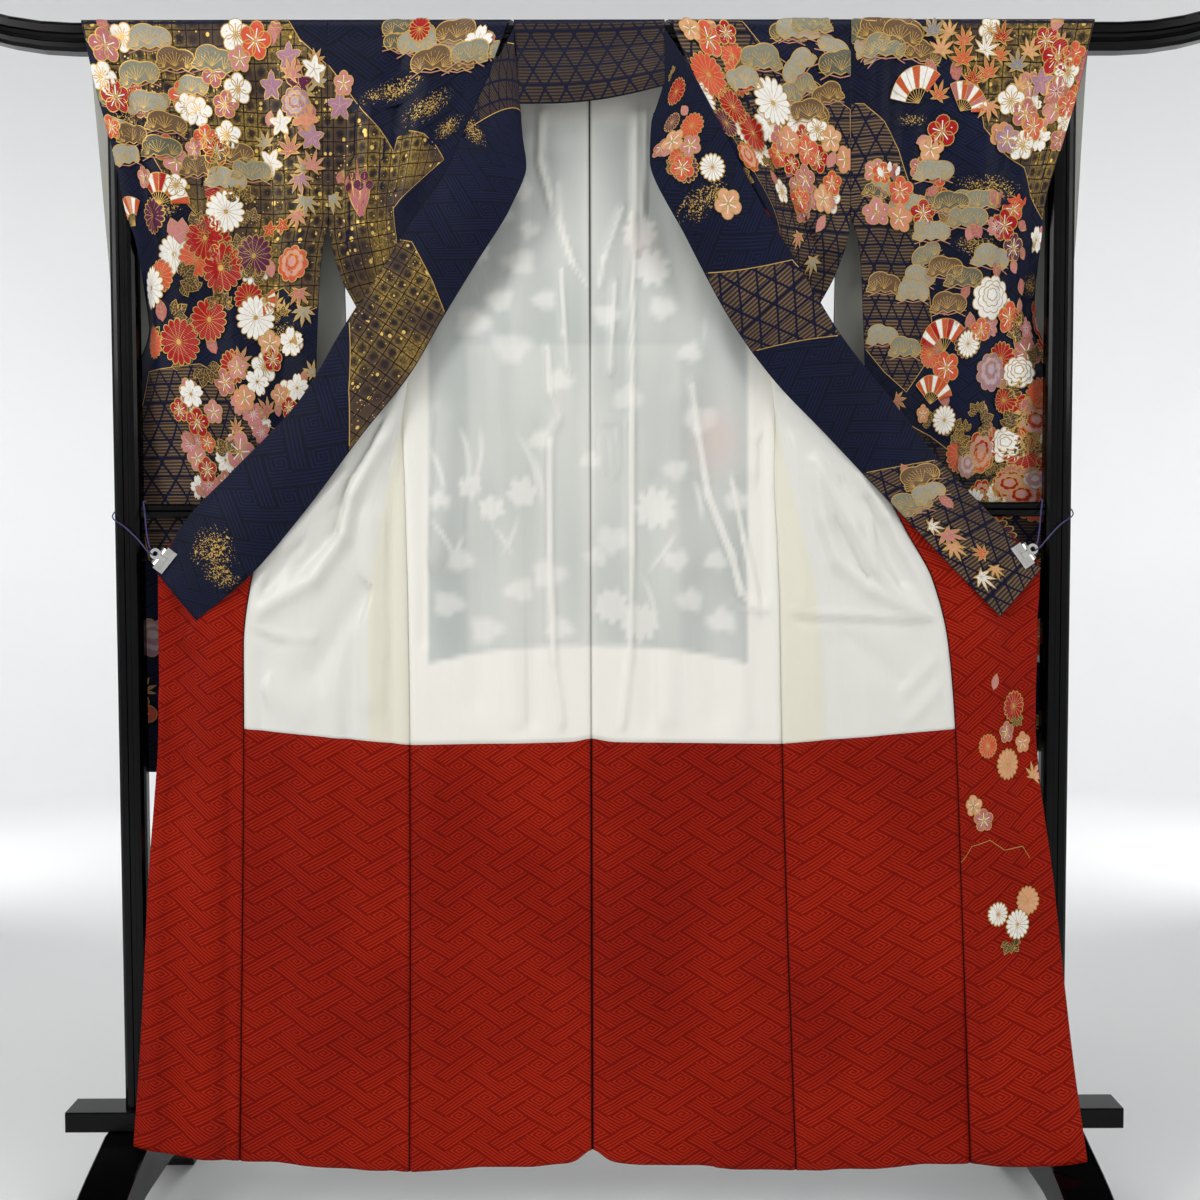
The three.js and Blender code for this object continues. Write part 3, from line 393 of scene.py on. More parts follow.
def sewn_to_body(free, body, hand):
    """A sleeve surface drawn to the body's side down to the armhole's end."""
    def at(u, v):
        level = v * SLEEVE_LENGTH
        sewn = (1 - smooth((level - ARMHOLE[0]) / ARMHOLE[1])) * (1 - u) ** 4
        start = np.zeros_like(v)
        seam = body(hand)(start + (body is back_at), level / BODY_LENGTH)
        return free(u, v) + (seam - free(start, v)) * sewn[..., None]
    return at


def sleeve_front_at(hand):
    turn_at = 0.78

    def at(u, v):
        level = v * SLEEVE_LENGTH
        row = row_at(SLEEVE_FRONT[hand], "level", level)
        near = np.clip(u / turn_at, 0, 1)
        far = np.clip((u - turn_at) / (1 - turn_at), 0, 1)
        x = mix(mix(row["inner"], row["turn"], near), row["cuff"], far)
        y = mix(mix(row["innerY"], row["turnY"], near), row["cuffY"], smooth(far) * 0.5 + far * 0.5)
        return hung(KIMONO_X + SIDE[hand] * x, y, level, lambda w: HANG_TOP - w * SLEEVE_HANG[hand], -1)
    return sewn_to_body(at, front_at, hand)


def sleeve_back_at(hand):
    def at(u, v):
        level = v * SLEEVE_LENGTH
        row = row_at(SLEEVE_BACK[hand], "level", level)
        bag = 5 * np.sin(np.pi * u) * np.sin(np.pi * v)
        x = KIMONO_X + SIDE[hand] * mix(row["inner"], row["cuff"], u)
        y = mix(row["innerY"], row["cuffY"], u) + bag
        return hung(x, y, level, lambda w: HANG_TOP - w * SLEEVE_HANG[hand], 1)
    return sewn_to_body(at, back_at, hand)


# ---------------------------------------------------------------- panels
BACKWARD = np.array([0.0, 1.0, 0.0])
FORWARD = -BACKWARD
SEAM_COLUMNS = np.array([0.0, 1.2, 2.6, 4.4])       # extra columns beside a seam
SEAM_DIP = 3.0                   # how deep and how far from the seam the cloth is drawn in
SEAM_WIDE = 3.0
SEAM_STARTS, SEAM_GROWS = 330, 200   # levels where the dip sets in
SEAM_GAP = 0.55                  # the lining stops this far from its panel's edge
CREASE = {"back": 1.25}          # how much crisper a panel's ridges stand than the table's depths


def fold_height(table, px, py):
    """How far the cloth stands towards the viewer at photo pixels; where folds meet the largest leads."""
    total = np.zeros_like(px)
    for x0, y0, x1, y1, depth, width in zip(*(table[k] for k in FOLD_COLUMNS)):
        dx, dy = x1 - x0, y1 - y0
        along = np.clip(((px - x0) * dx + (py - y0) * dy) / (dx * dx + dy * dy), 0, 1)
        off = np.hypot(px - x0 - along * dx, py - y0 - along * dy) / width
        one = depth * np.exp(-off**1.8)
        total = np.where(np.abs(one) > np.abs(total), one + 0.3 * total, total + 0.3 * one)
    return total


class Panel:
    """A cloth panel's middle surface on a grid, with its own flat coordinates s and t in millimetres."""

    def __init__(self, name, at, width, length, outward, probe, cell, calm=None, seams=""):
        """`outward` is where the outer side faces at the share `probe` of both sizes, `cell` the grid's
        spacing and `calm` how much of a fold's height is left at a point."""
        self.name, self.width, self.length = name, width, length
        middle = np.linspace(SEAM_COLUMNS[-1], width - SEAM_COLUMNS[-1], max(4, round(width / cell[0])))
        self.s = np.concatenate([SEAM_COLUMNS[:-1], middle, width - SEAM_COLUMNS[-2::-1]])
        self.t = np.linspace(0, length, max(4, round(length / cell[1])) + 1)
        self.u, self.v = np.meshgrid(self.s / width, self.t / length)
        self.points = at(self.u, self.v)
        group = name[:4] if name.startswith("back") else name
        seen = project(self.points)
        ridge = fold_height(FOLDS[group], *seen) if group in FOLDS else np.zeros_like(self.u)
        ridge = np.where(ridge > 0, ridge * CREASE.get(group, 1.0), ridge)
        if calm is not None:
            ridge = ridge * calm(self.u, self.v)
        for edge in seams:
            off = self.u * width if edge == "0" else (1 - self.u) * width
            down = smooth((self.v * length - SEAM_STARTS) / SEAM_GROWS)
            ridge = ridge - SEAM_DIP * np.exp(-((off / SEAM_WIDE) ** 2)) * down
        self.points[..., 1] -= ridge
        across = np.gradient(self.points, self.s, axis=1)
        down = np.gradient(self.points, self.t, axis=0)
        normal = np.cross(across, down)
        normal /= np.linalg.norm(normal, axis=-1, keepdims=True) + 1e-9
        i, j = round(probe[1] * (len(self.t) - 1)), round(probe[0] * (len(self.s) - 1))
        self.normal = normal * np.sign(normal[i, j] @ outward)
        self.pixel = project(self.points)
        self.mirror = 1.0 if np.median(np.diff(self.pixel[0], axis=1)) > 0 else -1.0

    def on(self, st, lift):
        """Points in metres at flat coordinates st, lifted off the middle surface on the outer side."""
        s, t = np.clip(st[:, 0], 0, self.width), np.clip(st[:, 1], 0, self.length)
        j = np.clip(np.searchsorted(self.s, s, side="right") - 1, 0, len(self.s) - 2)
        i = np.clip(np.searchsorted(self.t, t, side="right") - 1, 0, len(self.t) - 2)
        a = ((s - self.s[j]) / (self.s[j + 1] - self.s[j]))[:, None]
        b = ((t - self.t[i]) / (self.t[i + 1] - self.t[i]))[:, None]

        def blend(grid):
            return ((1 - a) * (1 - b) * grid[i, j] + a * (1 - b) * grid[i, j + 1]
                    + (1 - a) * b * grid[i + 1, j] + a * b * grid[i + 1, j + 1])
        normal = blend(self.normal)
        normal /= np.linalg.norm(normal, axis=1, keepdims=True)
        return (blend(self.points) + normal * lift) * MM

    def locate(self, x, y, v_to=1.0):
        """Flat coordinates of the place seen at photo pixel x, y, no further down than the share `v_to`."""
        px, py = self.pixel
        last = max(2, int(v_to * (len(self.t) - 1)))
        away = np.hypot(px[:last + 1] - x, py[:last + 1] - y)
        i, j = np.unravel_index(np.argmin(away), away.shape)
        i, j = min(i, len(self.t) - 2), max(min(j, len(self.s) - 4), 3)
        across = np.array([px[i, j + 1] - px[i, j], py[i, j + 1] - py[i, j]])
        down = np.array([px[i + 1, j] - px[i, j], py[i + 1, j] - py[i, j]])
        left_over = np.array([x - px[i, j], y - py[i, j]])
        a, b = np.linalg.lstsq(np.stack([across, down], axis=1), left_over, rcond=None)[0]
        return np.array([mix(self.s[j], self.s[j + 1], a), mix(self.t[i], self.t[i + 1], b)])


def new_object(name, verts, faces, uvs=None, materials=(), face_material=None, colours=None):
    mesh = bpy.data.meshes.new(name)
    mesh.from_pydata([tuple(p) for p in verts], [], [tuple(map(int, f)) for f in faces])
    loops = np.empty(len(mesh.loops), dtype=np.int64)
    mesh.loops.foreach_get("vertex_index", loops)
    if uvs is not None:
        layer = mesh.uv_layers.new(name="UVMap")
        layer.data.foreach_set("uv", np.asarray(uvs, dtype=np.float32)[loops].ravel())
    if colours is not None:
        colour = mesh.color_attributes.new(name="tint", type="FLOAT_COLOR", domain="POINT")
        colour.data.foreach_set("color", np.asarray(colours, dtype=np.float32).ravel())
    for material in materials:
        mesh.materials.append(material)
    if face_material is not None:
        mesh.polygons.foreach_set("material_index", np.asarray(face_material, dtype=np.int32))
    mesh.polygons.foreach_set("use_smooth", np.ones(len(mesh.polygons), dtype=bool))
    mesh.update()
    obj = bpy.data.objects.new(name, mesh)
    bpy.context.scene.collection.objects.link(obj)
    return obj


def shell(name, panel, lift, rim, material, v_from=0.0, v_to=1.0, colour_at=None):
    """One layer of a panel: its visible side `lift` off the middle surface, its edges turned in by `rim`."""
    nv, nu = panel.u.shape
    lo, hi = round(v_from * (nv - 1)), round(v_to * (nv - 1))
    count = hi - lo + 1
    st = np.stack(np.meshgrid(panel.s, panel.t[lo:hi + 1]), axis=-1)
    if lift < 0:
        st[:, 0, 0] += SEAM_GAP
        st[:, -1, 0] -= SEAM_GAP
    st[0, :, 1], st[-1, :, 1] = v_from * panel.length, v_to * panel.length
    flat = st.reshape(-1, 2)
    face_side = panel.on(flat, lift)
    index = np.arange(count * nu).reshape(count, nu)
    quads = np.stack([index[:-1, :-1], index[:-1, 1:], index[1:, 1:], index[1:, :-1]], axis=-1).reshape(-1, 4)
    edge = np.concatenate([index[0, :-1], index[:-1, -1], index[-1, :0:-1], index[:0:-1, 0]])
    under = panel.on(flat[edge], lift - math.copysign(rim, lift))
    ring = np.arange(len(edge)) + count * nu
    after = np.roll(np.arange(len(edge)), -1)
    border = np.stack([edge, ring, ring[after], edge[after]], axis=-1)
    verts = np.concatenate([face_side, under])
    weave = flat * np.array([-1.0 if panel.name.endswith("_R") else 1.0, 1.0]) * MM
    if panel.name.startswith("back"):
        weave[:, 1] = -face_side[:, 2]
    uvs = np.concatenate([weave, weave[edge]])
    outward = panel.on(flat[:1], lift + 1)[0] - panel.on(flat[:1], lift)[0]
    facing = np.cross(face_side[1] - face_side[0], face_side[nu] - face_side[0])
    if facing @ outward * lift < 0:
        quads, border = quads[:, ::-1], border[:, ::-1]
    colours = None if colour_at is None else colour_at(panel, np.concatenate([flat, flat[edge]]))
    return new_object(name, verts, np.concatenate([quads, border]), uvs, [material], None, colours)


# ---------------------------------------------------------------- materials
def colour(hex_code):
    """Linear rgb of a colour written as six hex digits."""
    values = [int(hex_code[i:i + 2], 16) / 255 for i in (0, 2, 4)]
    return tuple(c / 12.92 if c <= 0.04045 else ((c + 0.055) / 1.055) ** 2.4 for c in values)


class Paint:
    """A material's node graph, built by short calls."""

    def __init__(self, name, **fixed):
        self.material = bpy.data.materials.new(name)
        self.material.use_nodes = True
        self.tree = self.material.node_tree
        self.bsdf = self.tree.nodes["Principled BSDF"]
        for socket, value in fixed.items():
            self.bsdf.inputs[socket.replace("_", " ")].default_value = value

    def node(self, kind, inputs=(), **settings):
        node = self.tree.nodes.new(kind)
        for key, value in settings.items():
            setattr(node, key, value)
        for key, value in dict(inputs).items():
            self.feed(node.inputs[key], value)
        return node

    def feed(self, socket, value):
        if isinstance(value, bpy.types.NodeSocket):
            self.tree.links.new(value, socket)
        else:
            socket.default_value = value

    def math(self, operation, *values):
        return self.node("ShaderNodeMath", dict(enumerate(values)), operation=operation).outputs[0]

    def mix(self, factor, a, b):
        """From a to b, each a socket or a colour's six hex digits."""
        node = self.node("ShaderNodeMix", {0: factor}, data_type="RGBA")
        for socket, value in ((node.inputs[6], a), (node.inputs[7], b)):
            self.feed(socket, (*colour(value), 1) if isinstance(value, str) else value)
        return node.outputs[2]

    def uv(self):
        if not hasattr(self, "_uv"):
            self._uv = self.node("ShaderNodeUVMap", uv_map="UVMap").outputs[0]
            split = self.node("ShaderNodeSeparateXYZ", {0: self._uv})
            self.s, self.t = split.outputs[0], split.outputs[1]
        return self._uv

    def place(self):
        """The object's own coordinates, for solids without a UV map."""
        return self.node("ShaderNodeTexCoord").outputs[3]

    def noise(self, scale, detail=2.0, where=None, stretch=None):
        source = self.uv() if where is None else where
        if stretch:
            source = self.node("ShaderNodeMapping", {0: source, 3: stretch}).outputs[0]
        node = self.node("ShaderNodeTexNoise", {"Vector": source, "Scale": scale, "Detail": detail})
        return node.outputs[0]

    def spots(self, scale, size, vary=0.5):
        """1 inside scattered dots of that relative size."""
        node = self.node("ShaderNodeTexVoronoi", {"Vector": self.uv(), "Scale": scale}, feature="F1")
        chance = self.node("ShaderNodeSeparateColor", {0: node.outputs[1]}).outputs[0]
        random_size = self.math("MULTIPLY", chance, vary)
        return self.math("LESS_THAN", self.math("ADD", node.outputs[0], random_size), size)

    def range(self, value, low, high, to_low=0.0, to_high=1.0):
        node = self.node("ShaderNodeMapRange", {0: value, 1: low, 2: high, 3: to_low, 4: to_high},
                         interpolation_type="SMOOTHSTEP")
        return node.outputs[0]

    def lines(self, value, period, half_width, phase=0.0):
        """1 on lines of that half width, one each period."""
        scaled = self.math("MULTIPLY_ADD", value, 1 / period, phase)
        off = self.math("ABSOLUTE", self.math("SUBTRACT", self.math("FRACT", scaled), 0.5))
        return self.math("LESS_THAN", off, half_width / period)

    def bump(self, height, strength, distance=MM):
        node = self.node("ShaderNodeBump", {"Height": height, "Strength": strength, "Distance": distance})
        self.feed(self.bsdf.inputs["Normal"], node.outputs[0])

    def paint(self, **sockets):
        for socket, value in sockets.items():
            self.feed(self.bsdf.inputs[socket.replace("_", " ")], value)
        return self.material


# a lozenge key fret: bars of four lines lean both ways, with square keys between them
FRET_SIDE = 42                   # cells of a whole repeat along one lean
FRET_BAND = FRET_SIDE // 2       # the repeat is centred: half way up it starts again half way along
FRET_DIGITS = 14                 # cells held by one colour channel
FRET_CELL = 2.3 * MM
FRET_SLANT = 0.577
BAR_LINES = (0, 2, 4, 6)
BAR_LENGTH = 31
BAR_ACROSS = (33, -12)           # first cell of the bar that leans the other way
KEY_PLACES = ((0, 9), (21, 9))
KEY = (
    "11111111111",
    "00000000001",
    "11111111101",
    "10000000101",
    "10111110101",
    "10100010101",
    "10101010101",
    "10101110101",
    "10100000101",
    "10111111101",
    "10000000001",
)


def fret_chart():
    """Rows of one band of the fret, 1 for a raised cell."""
    chart = np.zeros((FRET_BAND, FRET_SIDE), int)

    def mark(i, j):
        band, row = divmod(j, FRET_BAND)
        chart[row, (i - FRET_BAND * (band % 2)) % FRET_SIDE] = 1
    for line in BAR_LINES:
        for k in range(BAR_LENGTH):
            mark(k, line)
            mark(BAR_ACROSS[0] + line, BAR_ACROSS[1] + k)
    for i0, j0 in KEY_PLACES:
        for j, line in enumerate(KEY):
            for i, digit in enumerate(line):
                if digit == "1":
                    mark(i0 + i, j0 + j)
    return chart


def fret(paint):
    """1 on the raised lines of the woven key fret."""
    paint.uv()
    limit = 2**FRET_DIGITS
    leaning = paint.math("MULTIPLY", paint.s, FRET_SLANT)
    a = paint.math("DIVIDE", paint.math("ADD", leaning, paint.t), FRET_CELL)
    b = paint.math("DIVIDE", paint.math("SUBTRACT", leaning, paint.t), FRET_CELL)
    band = paint.math("FLOOR", paint.math("DIVIDE", b, FRET_BAND))
    moved = paint.math("MULTIPLY_ADD", band, -FRET_BAND, a)
    around = paint.math("FRACT", paint.math("DIVIDE", moved, FRET_SIDE))
    column = paint.math("FLOOR", paint.math("MULTIPLY", around, FRET_SIDE))
    ramp = paint.node("ShaderNodeValToRGB", {0: paint.math("FRACT", paint.math("DIVIDE", b, FRET_BAND))})
    ramp.color_ramp.interpolation = "CONSTANT"
    stops = ramp.color_ramp.elements
    for i, row in enumerate(fret_chart()):
        stop = stops[i] if i < 2 else stops.new(i / FRET_BAND)
        stop.position = i / FRET_BAND
        parts = row.reshape(-1, FRET_DIGITS) @ (2 ** np.arange(FRET_DIGITS)) / limit
        stop.color = (*map(float, parts), 1)
    split = paint.node("ShaderNodeSeparateColor", {0: ramp.outputs[0]}).outputs
    third = paint.math("FLOOR", paint.math("DIVIDE", column, FRET_DIGITS))
    digit = paint.math("MULTIPLY_ADD", third, -FRET_DIGITS, column)
    later = paint.math("MINIMUM", third, 1.0)
    last = paint.math("MAXIMUM", paint.math("SUBTRACT", third, 1.0), 0.0)
    code = paint.math("MULTIPLY_ADD", paint.math("SUBTRACT", split[1], split[0]), later, split[0])
    code = paint.math("MULTIPLY_ADD", paint.math("SUBTRACT", split[2], split[1]), last, code)
    code = paint.math("MULTIPLY_ADD", code, limit, 0.25)
    shifted = paint.math("FLOOR", paint.math("DIVIDE", code, paint.math("POWER", 2.0, digit)))
    return paint.math("GREATER_THAN", paint.math("MODULO", shifted, 2.0), 0.5)


def crepe(paint):
    """Fine height of the crepe's own grain."""
    return paint.noise(900, 2.0)


SILK = {"Roughness": 0.5, "Sheen_Weight": 0.02, "Sheen_Roughness": 0.35, "Specular_IOR_Level": 0.14}


def navy_paint():
    p = Paint("navy_damask", **{**SILK, "Roughness": 0.46})
    raised = fret(p)
    cloud = p.range(p.noise(5, 2.0), 0.35, 0.65)
    ground = p.mix(cloud, "040716", "070C1F")
    line = p.mix(cloud, "0C1230", "101838")
    shade = p.mix(raised, ground, line)
    p.bump(p.math("MULTIPLY_ADD", raised, 0.7, p.math("MULTIPLY", crepe(p), 0.5)), 0.55, 0.5 * MM)
    return p.paint(Base_Color=shade)


def kagome_paint(name, ground_a, ground_b, line, stripe=4.4 * MM, cell=25 * MM):
    p = Paint(name, **{**SILK, "Roughness": 0.55})
    p.uv()
    mesh = None
    for turn, phase in ((90, 0.25), (30, 0.0), (150, 0.5)):
        c, s = math.cos(math.radians(turn)), math.sin(math.radians(turn))
        across = p.math("ADD", p.math("MULTIPLY", p.s, c), p.math("MULTIPLY", p.t, s))
        wobble = p.math("MULTIPLY_ADD", p.noise(60, 1.0), 1.2 * MM, across)
        one = p.lines(wobble, cell, 1.5 * MM, phase)
        mesh = one if mesh is None else p.math("MAXIMUM", mesh, one)
    weft = p.lines(p.math("MULTIPLY_ADD", p.noise(90, 1.0), 0.8 * MM, p.t), stripe, 1.25 * MM)
    ground = p.mix(p.range(p.noise(7, 3.0), 0.35, 0.65), ground_a, ground_b)
    ground = p.mix(p.math("MULTIPLY", weft, 0.85), ground, "16121A")
    p.bump(p.math("MULTIPLY", crepe(p), 0.6), 0.4, 0.4 * MM)
    return p.paint(Base_Color=p.mix(mesh, ground, line))


def lattice_paint():
    p = Paint("gold_lattice", **{**SILK, "Roughness": 0.42})
    p.uv()
    cell = 19 * MM
    wobble_s = p.math("MULTIPLY_ADD", p.noise(45, 2.0), 2.4 * MM, p.s)
    wobble_t = p.math("MULTIPLY_ADD", p.noise(38, 2.0, stretch=(1, 1, 4)), 2.4 * MM, p.t)
    bars = p.math("MAXIMUM", p.lines(wobble_s, cell, 0.8 * MM), p.lines(wobble_t, cell, 0.8 * MM))
    dash = p.math("GREATER_THAN", p.noise(150, 1.0), 0.3)
    bars = p.math("MULTIPLY", bars, dash)
    cells = p.math("MULTIPLY", p.math("COSINE", p.math("MULTIPLY", wobble_s, math.pi / cell)),
                   p.math("COSINE", p.math("MULTIPLY", wobble_t, math.pi / cell)))
    patch = p.range(p.noise(6, 2.0), 0.36, 0.5)
    ragged = p.math("MULTIPLY_ADD", p.noise(70, 3.0), 1.1, p.math("ABSOLUTE", cells))
    dark = p.math("MULTIPLY", p.range(ragged, 0.75, 1.55), patch)
    gold = p.mix(p.range(p.noise(300, 2.0), 0.4, 0.62), "6A532A", "9C8140")
    gold = p.mix(p.range(p.noise(9, 3.0), 0.38, 0.58), gold, "4A3A2E")
    ground = p.mix(p.math("MULTIPLY", dark, 0.92), gold, "14111B")
    flecks = p.math("MULTIPLY", p.spots(85, 0.3, 0.3), p.math("GREATER_THAN", p.noise(16, 2.0), 0.45))
    dust = p.math("MULTIPLY", p.spots(260, 0.3, 0.5), p.range(p.noise(14, 2.0), 0.47, 0.54))
    flecks = p.math("MAXIMUM", flecks, dust)
    ground = p.mix(flecks, ground, "DDB962")
    p.bump(p.math("MULTIPLY_ADD", flecks, 0.5, p.math("MULTIPLY", crepe(p), 0.6)), 0.4, 0.4 * MM)
    return p.paint(Base_Color=p.mix(bars, ground, "17100E"), Metallic=p.math("MULTIPLY", flecks, 0.5))


def motif_paint():
    """Dyed and gold-painted motifs, their colours carried by the points."""
    p = Paint("yuzen_motifs", **{**SILK, "Roughness": 0.5})
    tint = p.node("ShaderNodeVertexColor", layer_name="tint")
    p.uv()
    diagonal = p.lines(p.math("ADD", p.math("MULTIPLY", p.s, 0.6), p.t), 3.4 * MM, 0.35 * MM)
    here = p.math("GREATER_THAN", p.noise(18, 1.0), 0.52)
    soft = p.math("MULTIPLY", p.math("MULTIPLY", diagonal, here), 0.16)
    shade = p.mix(soft, tint.outputs[0], "F2DFC8")
    grain = p.range(p.noise(220, 2.0), 0.2, 0.8, 0.0, 0.16)
    shade = p.mix(grain, shade, "2A1A18")
    p.bump(crepe(p), 0.35, 0.4 * MM)
    gold = p.math("SUBTRACT", 1.0, tint.outputs[1])
    return p.paint(Base_Color=shade, Metallic=p.math("MULTIPLY", gold, 0.75))


def white_paint():
    p = Paint("white_silk", **{**SILK, "Roughness": 0.38, "Specular_IOR_Level": 0.4})
    tint = p.node("ShaderNodeVertexColor", layer_name="tint")
    weave = p.noise(1400, 1.0, stretch=(1, 0.35, 1))
    ripple = p.noise(11, 3.0, stretch=(3.4, 0.55, 1))
    p.bump(p.math("MULTIPLY_ADD", weave, 0.06, p.math("MULTIPLY", ripple, 2.2)), 0.55, 1.2 * MM)
    ageing = p.range(p.noise(4, 2.0), 0.3, 0.7, 0.0, 0.05)
    return p.paint(Base_Color=p.mix(ageing, tint.outputs[0], "B8B5A8"))


def red_paint():
    p = Paint("red_damask", **{**SILK, "Roughness": 0.52, "Sheen_Weight": 0.01, "Specular_IOR_Level": 0.07})
    raised = fret(p)
    # painted sheen and shade: soft lighter and darker patches across the red, standing in for folds catching
    # the light
    patch = p.range(p.noise(3.2, 2.0), 0.3, 0.7)
    ground = p.mix(patch, "6C0B03", "801105")
    line = p.mix(patch, "981C0B", "AE2810")
    p.bump(p.math("MULTIPLY_ADD", raised, 0.9, p.math("MULTIPLY", crepe(p), 0.35)), 0.7, 0.6 * MM)
    cloth = p.mix(raised, ground, line)
    # painted shade: the red turns near black within about 1.2 mm of the seam at s = 0, fading out by 4.2 mm
    seam_shade = p.range(p.math("ABSOLUTE", p.s), 1.2 * MM, 4.2 * MM)
    return p.paint(Base_Color=p.mix(seam_shade, "240503", cloth))


def powder_paint():
    p = Paint("gold_powder", **{**SILK, "Roughness": 0.46})
    tint = p.node("ShaderNodeVertexColor", layer_name="tint")
    thick = p.node("ShaderNodeSeparateColor", {0: tint.outputs[0]}).outputs[0]
    dust = p.math("GREATER_THAN", thick, p.range(p.noise(420, 2.0), 0.3, 0.66, 0.25, 1.3))
    for scale, size, drift in ((200, 0.44, 40), (480, 0.5, 70)):
        here = p.math("GREATER_THAN", thick, p.noise(drift, 2.0))
        grains = p.math("MULTIPLY", p.spots(scale, size, 0.5), here)
        dust = p.math("MAXIMUM", dust, grains)
    raised = fret(p)
    navy = p.mix(raised, "050818", "0E1531")
    gold = p.mix(p.noise(90, 1.0), "8F6C2C", "E0BC6C")
    return p.paint(Base_Color=p.mix(dust, navy, gold), Metallic=p.math("MULTIPLY", dust, 0.45))


def lacquer_paint():
    p = Paint("black_lacquer", Roughness=0.12, Coat_Weight=0.05, Coat_Roughness=0.05, Specular_IOR_Level=0.14)
    where = p.place()
    wear = p.noise(9, 3.0, where=where)
    dust = p.range(p.noise(70, 4.0, where=where), 0.55, 0.8)
    p.bump(wear, 0.05, 0.5 * MM)
    return p.paint(Base_Color=p.mix(p.math("MULTIPLY", dust, 0.25), "020203", "080707"),
                   Roughness=p.range(wear, 0.3, 0.7, 0.13, 0.24))


def nickel_paint():
    p = Paint("polished_nickel", Metallic=1.0)
    where = p.place()
    brushed = p.noise(900, 2.0, where=where, stretch=(1, 1, 0.1))
    return p.paint(Base_Color=p.mix(brushed, "B9B9B6", "E4E3DE"),
                   Roughness=p.range(p.noise(60, 2.0, where=where), 0.3, 0.7, 0.12, 0.26))


def string_paint():
    p = Paint("violet_cord", Roughness=0.75, Sheen_Weight=0.3)
    where = p.place()
    twist = p.node("ShaderNodeTexWave", {"Vector": where, "Scale": 260.0, "Distortion": 1.0},
                   bands_direction="DIAGONAL").outputs[1]
    p.bump(twist, 0.8, 0.4 * MM)
    return p.paint(Base_Color=p.mix(twist, "1E0F48", "3A2278"))


MATERIALS = {
    "navy": navy_paint(),
    "kagome": kagome_paint("kagome_taupe", "5E4B3A", "765F46", "070A26"),
    "kagome_navy": kagome_paint("kagome_dark", "3E3129", "524232", "070A26"),
    "lattice": lattice_paint(),
    "motif": motif_paint(),
    "powder": powder_paint(),
    "white": white_paint(),
    "red": red_paint(),
    "lacquer": lacquer_paint(),
    "nickel": nickel_paint(),
    "string": string_paint(),
}
OVERLAY = ["motif", "navy", "kagome", "kagome_navy", "lattice", "powder", "red"]

# ---------------------------------------------------------------- motif drawing
FINISH_LIFT = 1.2                # the cloth's face from the middle surface
OUTLINE_WIDTH = 1.3
OUTLINE_LIFT = 0.14
PRINT_MARGIN = 0.6               # the print stops this far from its panel's edge
LAYER = 0.3                      # each motif lies this much above those that it covers
MOST_LAYERS = 7
SHAPE_LIFT = 0.6                 # how much of the lifts inside a motif is kept
STAGGER, STAGGERS = 0.004, 20    # motifs of one layer differ by this much, so that no two faces meet
FILL_STEP = 5.5                  # most length of an edge in a filled shape
LINE_STEP = 6.0
POWDER_LIFT = 0.4
POWDER_STRENGTH = 0.75
GOLD = colour("C9A35A")
TONES = {
    "white": "EFEDE6", "red": "A5151A", "coral": "D0533A", "salmon": "D68C6E", "pink": "C77F80",
    "mauve": "A77C92", "purple": "5A2240", "leaf": "4A3C28", "sage": "84836F", "brown": "6A523A",
    "moss": "5C5C4C", "grey": "9C9A8A", "slate": "7D8494", "rose": "B5696A", "peach": "DDA27C",
    "twig": "B98274", "orange": "C4502A",
}
TONES = {name: colour(code) for name, code in TONES.items()}


def ring(radius, count, start=0.0, to=2 * math.pi):
    angles = start + np.arange(count) * (to / count)
    return np.stack([radius * np.cos(angles), radius * np.sin(angles)], axis=1)


def turned(points, angle):
    c, s = math.cos(angle), math.sin(angle)
    return points @ np.array([[c, s], [-s, c]])


def gilded(shape, tone, spin, grow, low=0, high=0.12):
    """A shape and the gold edge that shows all round it."""
    return [("fill", turned(shape * grow, spin), GOLD, low, 1), ("fill", turned(shape, spin), tone, high, 0)]


def scalloped(radius, lobes, depth, start, sharp):
    """A closed outline with that many rounded lobes."""
    angles = start + np.linspace(0, 2 * math.pi, lobes * 6, endpoint=False)
    wave = np.abs(np.cos((angles - start) * lobes / 2)) ** sharp
    r = radius * (1 - depth + depth * wave)
    return np.stack([r * np.cos(angles), r * np.sin(angles)], axis=1)


def shapes_plum(r, tone, spin):
    out = []
    for k in range(5):
        centre = turned(np.array([[0, r * 0.58]]), spin + k * 2 * math.pi / 5)
        out.append(("fill", ring(r * 0.45, 12) + centre, GOLD, 0, 1))
        out.append(("fill", ring(r * 0.45 - 0.55, 12) + centre, tone, 0.12, 0))
    out.append(("fill", ring(r * 0.3, 8), tone, 0.14, 0))
    bright = TONES["white"] if tone != TONES["white"] else GOLD
    for k in range(5):
        tip = turned(np.array([[0, r * 0.12], [0, r * 0.66]]), spin + k * 2 * math.pi / 5)
        out.append(("line", tip, bright, 0.26, max(0.6, r * 0.07)))
    out.append(("fill", ring(r * 0.11, 7), GOLD, 0.3, 1))
    return out


def shapes_cherry(r, tone, spin):
    out = []
    petal = np.array([[0, 0.08], [0.26, 0.3], [0.38, 0.62], [0.3, 0.88], [0.14, 1.0], [0, 0.88], [-0.14, 1.0],
                      [-0.3, 0.88], [-0.38, 0.62], [-0.26, 0.3]]) * r
    for k in range(5):
        angle = spin + k * 2 * math.pi / 5
        centre = np.array([[0, r * 0.55]])
        out.append(("fill", turned((petal - centre) * 1.1 + centre, angle), GOLD, 0, 1))
        out.append(("fill", turned(petal, angle), tone, 0.12, 0))
    for k in range(10):
        tip = turned(np.array([[0, r * 0.1], [0, r * (0.42 if k % 2 else 0.56)]]), spin + k * math.pi / 5)
        out.append(("line", tip, GOLD if tone == TONES["white"] else TONES["white"], 0.26, 0.55))
    return out


